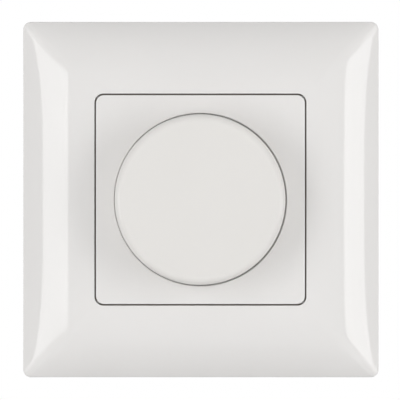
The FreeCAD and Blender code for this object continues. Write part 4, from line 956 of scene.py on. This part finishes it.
class DIMMER_OT_finishes(bpy.types.Operator):
    """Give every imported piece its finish"""

    bl_idname = "dimmer.finishes"
    bl_label = "Finishes of the other pieces"

    def execute(self, context):
        colours = context.scene.dimmer.colours
        steel = tuple(colours.steel)
        brass = turned_metal("turned_brass", tuple(colours.brass), roughness=0.24)
        screw = plated_steel("screw_plating", shade(steel, 1.05), roughness=0.3)
        sheet = plated_steel("sheet_plating", steel, roughness=0.36, lay=(0.06, 1.0, 1.0))
        dark = textured_plastic("rotor_plastic", (0.03, 0.03, 0.032),
                                roughness=0.5, grain=5200.0, depth=0.00001)
        lacquer = textured_plastic("capacitor_lacquer", (0.62, 0.09, 0.04),
                                   roughness=0.3, grain=2600.0, depth=0.000012)
        finishes = {
            "support_plate": sheet, "claw_left": sheet, "claw_right": sheet,
            "knob_clip": screw, "potentiometer_case": sheet, "return_spring": screw,
            "potentiometer_nut": screw, "housing_screws": screw, "claw_screw_left": screw,
            "claw_screw_right": screw, "terminal_screws": screw,
            "threaded_bush": brass, "shaft": brass, "terminal_clamps": brass,
            "fuse_clips": brass, "switch_contacts": brass, "wiper_contact": brass,
            "rear_housing": textured_plastic("cup_plastic", tuple(colours.housing),
                                             roughness=0.55, grain=3800.0, depth=0.000018),
            "front_housing": textured_plastic("lid_plastic", tuple(colours.lid),
                                              roughness=0.5, grain=3800.0, depth=0.000015),
            "centre_nut": textured_plastic("nut_plastic", (0.6, 0.59, 0.57),
                                           roughness=0.38, grain=4200.0, depth=0.000006),
            "switch_plunger": textured_plastic("plunger_plastic", (0.6, 0.59, 0.57),
                                               roughness=0.38, grain=4200.0, depth=0.000006),
            "terminal_block": textured_plastic("terminal_plastic", (0.33, 0.34, 0.35),
                                               roughness=0.45, grain=4200.0, depth=0.00001),
            "switch_case": dark, "wiper_rotor": dark, "triac": dark,
            "film_capacitor": lacquer, "timing_capacitor": lacquer,
            "choke_core": textured_plastic("core_powder", (0.6, 0.5, 0.13),
                                           roughness=0.6, grain=4200.0, depth=0.00002),
            "choke_winding": wound_copper("winding_enamel", (0.72, 0.28, 0.12)),
            "resistive_track": textured_plastic("wafer_laminate", (0.22, 0.1, 0.05),
                                                roughness=0.45, grain=3000.0, depth=0.000008),
            "circuit_board": circuit_laminate("board_laminate", (0.13, 0.21, 0.09)),
            "triac_rivet": turned_metal("rivet_aluminium", (0.8, 0.8, 0.81), roughness=0.32),
            "fuse": capped_glass("fuse_glass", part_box("fuse"), cap=0.005),
            "resistors": banded_resistors(
                "resistor_lacquer", (0.62, 0.5, 0.34),
                ((-0.3, (0.45, 0.12, 0.02)), (-0.12, (0.02, 0.02, 0.02)),
                 (0.06, (0.5, 0.35, 0.02)), (0.3, (0.55, 0.4, 0.12))),
                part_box("resistors"), length=0.0066),
        }
        for node, finish in finishes.items():
            for slot in NODES[node].material_slots:
                slot.material = finish
        return {"FINISHED"}


# Stage

# Where the camera aims, to the right of and above the dimmer's middle
SHIFT_RIGHT = -0.0001
SHIFT_UP = -0.0001

# Lights at both sides: the azimuths between which each stands, counted from the front to the
# right, its lower and upper edge, its share of the full strength, and the rays that see it.
# Glossy rays show the bright strips on the flanks, and diffuse ones give the tones. The lights
# for diffuse rays stand further off by this factor, because lamps in one plane lose light.
DIFFUSE_DISTANCE = 1.2
SIDE_LIGHTS = (
    ("left_strip", -63.9, -31.9, -0.035, 0.042, 0.73, "glossy"),
    ("left_low_strip", -63.9, -31.9, -0.12, -0.035, 0.42, "glossy"),
    ("left_high_strip", -63.9, -31.9, 0.042, 0.14, 0.25, "glossy"),
    ("right_strip", 44.0, 69.9, -0.035, 0.042, 0.75, "glossy"),
    ("right_low_strip", 44.0, 69.9, -0.12, -0.035, 0.42, "glossy"),
    ("right_high_strip", 44.0, 69.9, 0.042, 0.14, 0.25, "glossy"),
    ("left_light", -63.8, -31.5, -0.3, 0.3, 0.68, "diffuse"),
    ("right_light", 43.9, 69.4, -0.3, 0.3, 0.87, "diffuse"),
)

# Round soft lights: azimuth, elevation, distance, diameter, share of the full strength
SOFT_LIGHTS = (
    ("front_light", 0.0, 0.0, 1.6, 1.3, 0.08),
    ("above_light", 0.0, 45.0, 1.0, 0.6, 0.09),
    ("below_light", 0.0, -50.0, 1.0, 0.6, 0.08),
    ("back_light", 180.0, 30.0, 1.0, 0.9, 0.35),
)

# How much of the floor's white is its own where the camera sees it
FLOOR_GLOW = 0.7


def direction(azimuth, elevation=0.0):
    """From the dimmer towards a light, with both angles in degrees and 0, 0 at the front."""
    azimuth = math.radians(azimuth)
    flat = math.cos(math.radians(elevation))
    return Vector((math.sin(azimuth) * flat, -math.cos(azimuth) * flat,
                   math.sin(math.radians(elevation))))


def add_lamp(scene, name, shape, size, centre, toward, radiance, rays):
    """An area lamp that shines back along toward. Its power is pi times its radiance times its
    area, and only diffuse or only glossy rays see it."""
    area = size[0] * size[1] * (1.0 if shape == "RECTANGLE" else math.pi / 4)
    lamp = bpy.data.lights.new(name, "AREA")
    lamp.shape = shape
    lamp.size = size[0]
    lamp.size_y = size[1]
    lamp.energy = math.pi * radiance * area
    light = bpy.data.objects.new(name, lamp)
    light.location = centre
    light.rotation_euler = toward.to_track_quat("Z", "Y").to_euler()
    light.visible_camera = False
    light.visible_diffuse = rays == "diffuse"
    light.visible_glossy = rays == "glossy"
    scene.collection.objects.link(light)


def light_paths(recipe, *kinds):
    """One for rays of the given kinds and nought for others."""
    seen = recipe.add("ShaderNodeLightPath", output=f"Is {kinds[0]} Ray")
    for kind in kinds[1:]:
        seen = seen + recipe.add("ShaderNodeLightPath", output=f"Is {kind} Ray")
    return seen.clamped()


class DIMMER_OT_stage(bpy.types.Operator):
    """Set up the camera, the lights, the pale surroundings and the floor"""

    bl_idname = "dimmer.stage"
    bl_label = "Stage"

    def execute(self, context):
        sizes = context.scene.dimmer.stage
        self.place_camera(context.scene, sizes)
        self.place_lights(context.scene, sizes)
        self.light_surroundings(context.scene, sizes)
        self.lay_floor(context.scene, sizes)
        context.scene.view_settings.view_transform = "Standard"
        return {"FINISHED"}

    @staticmethod
    def place_camera(scene, sizes):
        aim = Vector((SHIFT_RIGHT, FRAME_LOW.y, SHIFT_UP))
        back = direction(math.degrees(sizes.azimuth))
        lens = bpy.data.cameras.new("photo_camera")
        lens.lens = lens.sensor_width * sizes.distance / sizes.view_width
        lens.clip_end = sizes.distance * 10
        camera = bpy.data.objects.new("photo_camera", lens)
        camera.location = aim + back * sizes.distance
        camera.rotation_euler = back.to_track_quat("Z", "Y").to_euler()
        scene.collection.objects.link(camera)
        scene.camera = camera

    @staticmethod
    def place_lights(scene, sizes):
        for name, start, stop, low, high, share, rays in SIDE_LIGHTS:
            toward = direction((start + stop) / 2)
            distance = sizes.light_distance * (DIFFUSE_DISTANCE if rays == "diffuse" else 1.0)
            across = 2 * distance * math.tan(math.radians((stop - start) / 2))
            centre = toward * distance + Vector((0, 0, (low + high) / 2))
            add_lamp(scene, name, "RECTANGLE", (across, high - low), centre, toward,
                     sizes.radiance * share, rays)
        for name, azimuth, elevation, distance, across, share in SOFT_LIGHTS:
            toward = direction(azimuth, elevation)
            add_lamp(scene, name, "DISK", (across, across), toward * distance, toward,
                     sizes.radiance * share, "diffuse")

    @staticmethod
    def light_surroundings(scene, sizes):
        world = scene.world or bpy.data.worlds.new("surroundings")
        scene.world = world
        world.use_nodes = True
        recipe = Recipe(world.node_tree)
        fill = recipe.add("ShaderNodeBackground", None,
                          {"Color": (1, 1, 1, 1), "Strength": sizes.fill})
        white = recipe.add("ShaderNodeBackground", None,
                           {"Color": (1, 1, 1, 1), "Strength": 1.0})
        seen = light_paths(recipe, "Camera", "Glossy", "Transmission")
        mixed = recipe.add("ShaderNodeMixShader", None, {0: seen, 1: fill, 2: white})
        recipe.add("ShaderNodeOutputWorld", None, {"Surface": mixed})

    @staticmethod
    def lay_floor(scene, sizes):
        """A pale floor that is clear from beneath, so that it never hides the dimmer."""
        half = sizes.floor_half
        corners = [(-half, -half), (half, -half), (half, half), (-half, half)]
        mesh = bpy.data.meshes.new("floor")
        mesh.from_pydata([(across, depth, -sizes.floor_drop) for across, depth in corners],
                         [], [(0, 1, 2, 3)])
        floor = bpy.data.objects.new("floor", mesh)
        scene.collection.objects.link(floor)
        paint, recipe = new_finish("floor_paint")
        cloud = recipe.noise(recipe.place(), 6.0)
        coat = recipe.add("ShaderNodeBsdfDiffuse", None,
                          {"Color": recipe.blend(cloud, (0.8, 0.8, 0.8), (0.86, 0.86, 0.86))})
        glow = recipe.add("ShaderNodeEmission", None, {"Color": (1, 1, 1, 1), "Strength": 1.0})
        clear = recipe.add("ShaderNodeBsdfTransparent", None, {"Color": (1, 1, 1, 1)})
        seen = light_paths(recipe, "Camera") * FLOOR_GLOW
        above = recipe.add("ShaderNodeMixShader", None, {0: seen, 1: coat, 2: glow})
        beneath = recipe.add("ShaderNodeNewGeometry", output="Backfacing")
        mixed = recipe.add("ShaderNodeMixShader", None, {0: beneath, 1: above, 2: clear})
        recipe.add("ShaderNodeOutputMaterial", None, {"Surface": mixed})
        mesh.materials.append(paint)


# Panel and start

class DIMMER_PT_panel(bpy.types.Panel):
    """Builds the dimmer piece by piece"""

    bl_label = "Rotary Dimmer"
    bl_idname = "DIMMER_PT_panel"
    bl_space_type = "VIEW_3D"
    bl_region_type = "UI"
    bl_category = "Dimmer"

    def draw(self, context):
        settings = context.scene.dimmer
        for operator, sizes in ((DIMMER_OT_cover_frame, settings.cover_frame),
                                (DIMMER_OT_centre_plate, settings.centre_plate),
                                (DIMMER_OT_knob, settings.knob),
                                (DIMMER_OT_finishes, settings.colours),
                                (DIMMER_OT_threads, settings.thread),
                                (DIMMER_OT_return_spring, settings.spring),
                                (DIMMER_OT_stage, settings.stage)):
            box = self.layout.box()
            box.operator(operator.bl_idname)
            for name in type(sizes).__annotations__:
                box.prop(sizes, name)


CLASSES = (
    FinishColours, CoverFrameSizes, CentrePlateSizes, KnobSizes, ThreadSizes, SpringSizes,
    StageSizes, DimmerSettings, DIMMER_OT_cover_frame, DIMMER_OT_centre_plate, DIMMER_OT_knob,
    DIMMER_OT_finishes, DIMMER_OT_threads, DIMMER_OT_return_spring, DIMMER_OT_stage,
    DIMMER_PT_panel,
)


def register():
    for kind in CLASSES:
        bpy.utils.register_class(kind)
    bpy.types.Scene.dimmer = PointerProperty(type=DimmerSettings)


def unregister():
    del bpy.types.Scene.dimmer
    for kind in reversed(CLASSES):
        bpy.utils.unregister_class(kind)


def main():
    register()
    bpy.ops.dimmer.cover_frame()
    bpy.ops.dimmer.centre_plate()
    bpy.ops.dimmer.knob()
    bpy.ops.dimmer.finishes()
    bpy.ops.dimmer.threads()
    bpy.ops.dimmer.return_spring()
    bpy.ops.dimmer.stage()


if __name__ == "__main__":
    main()
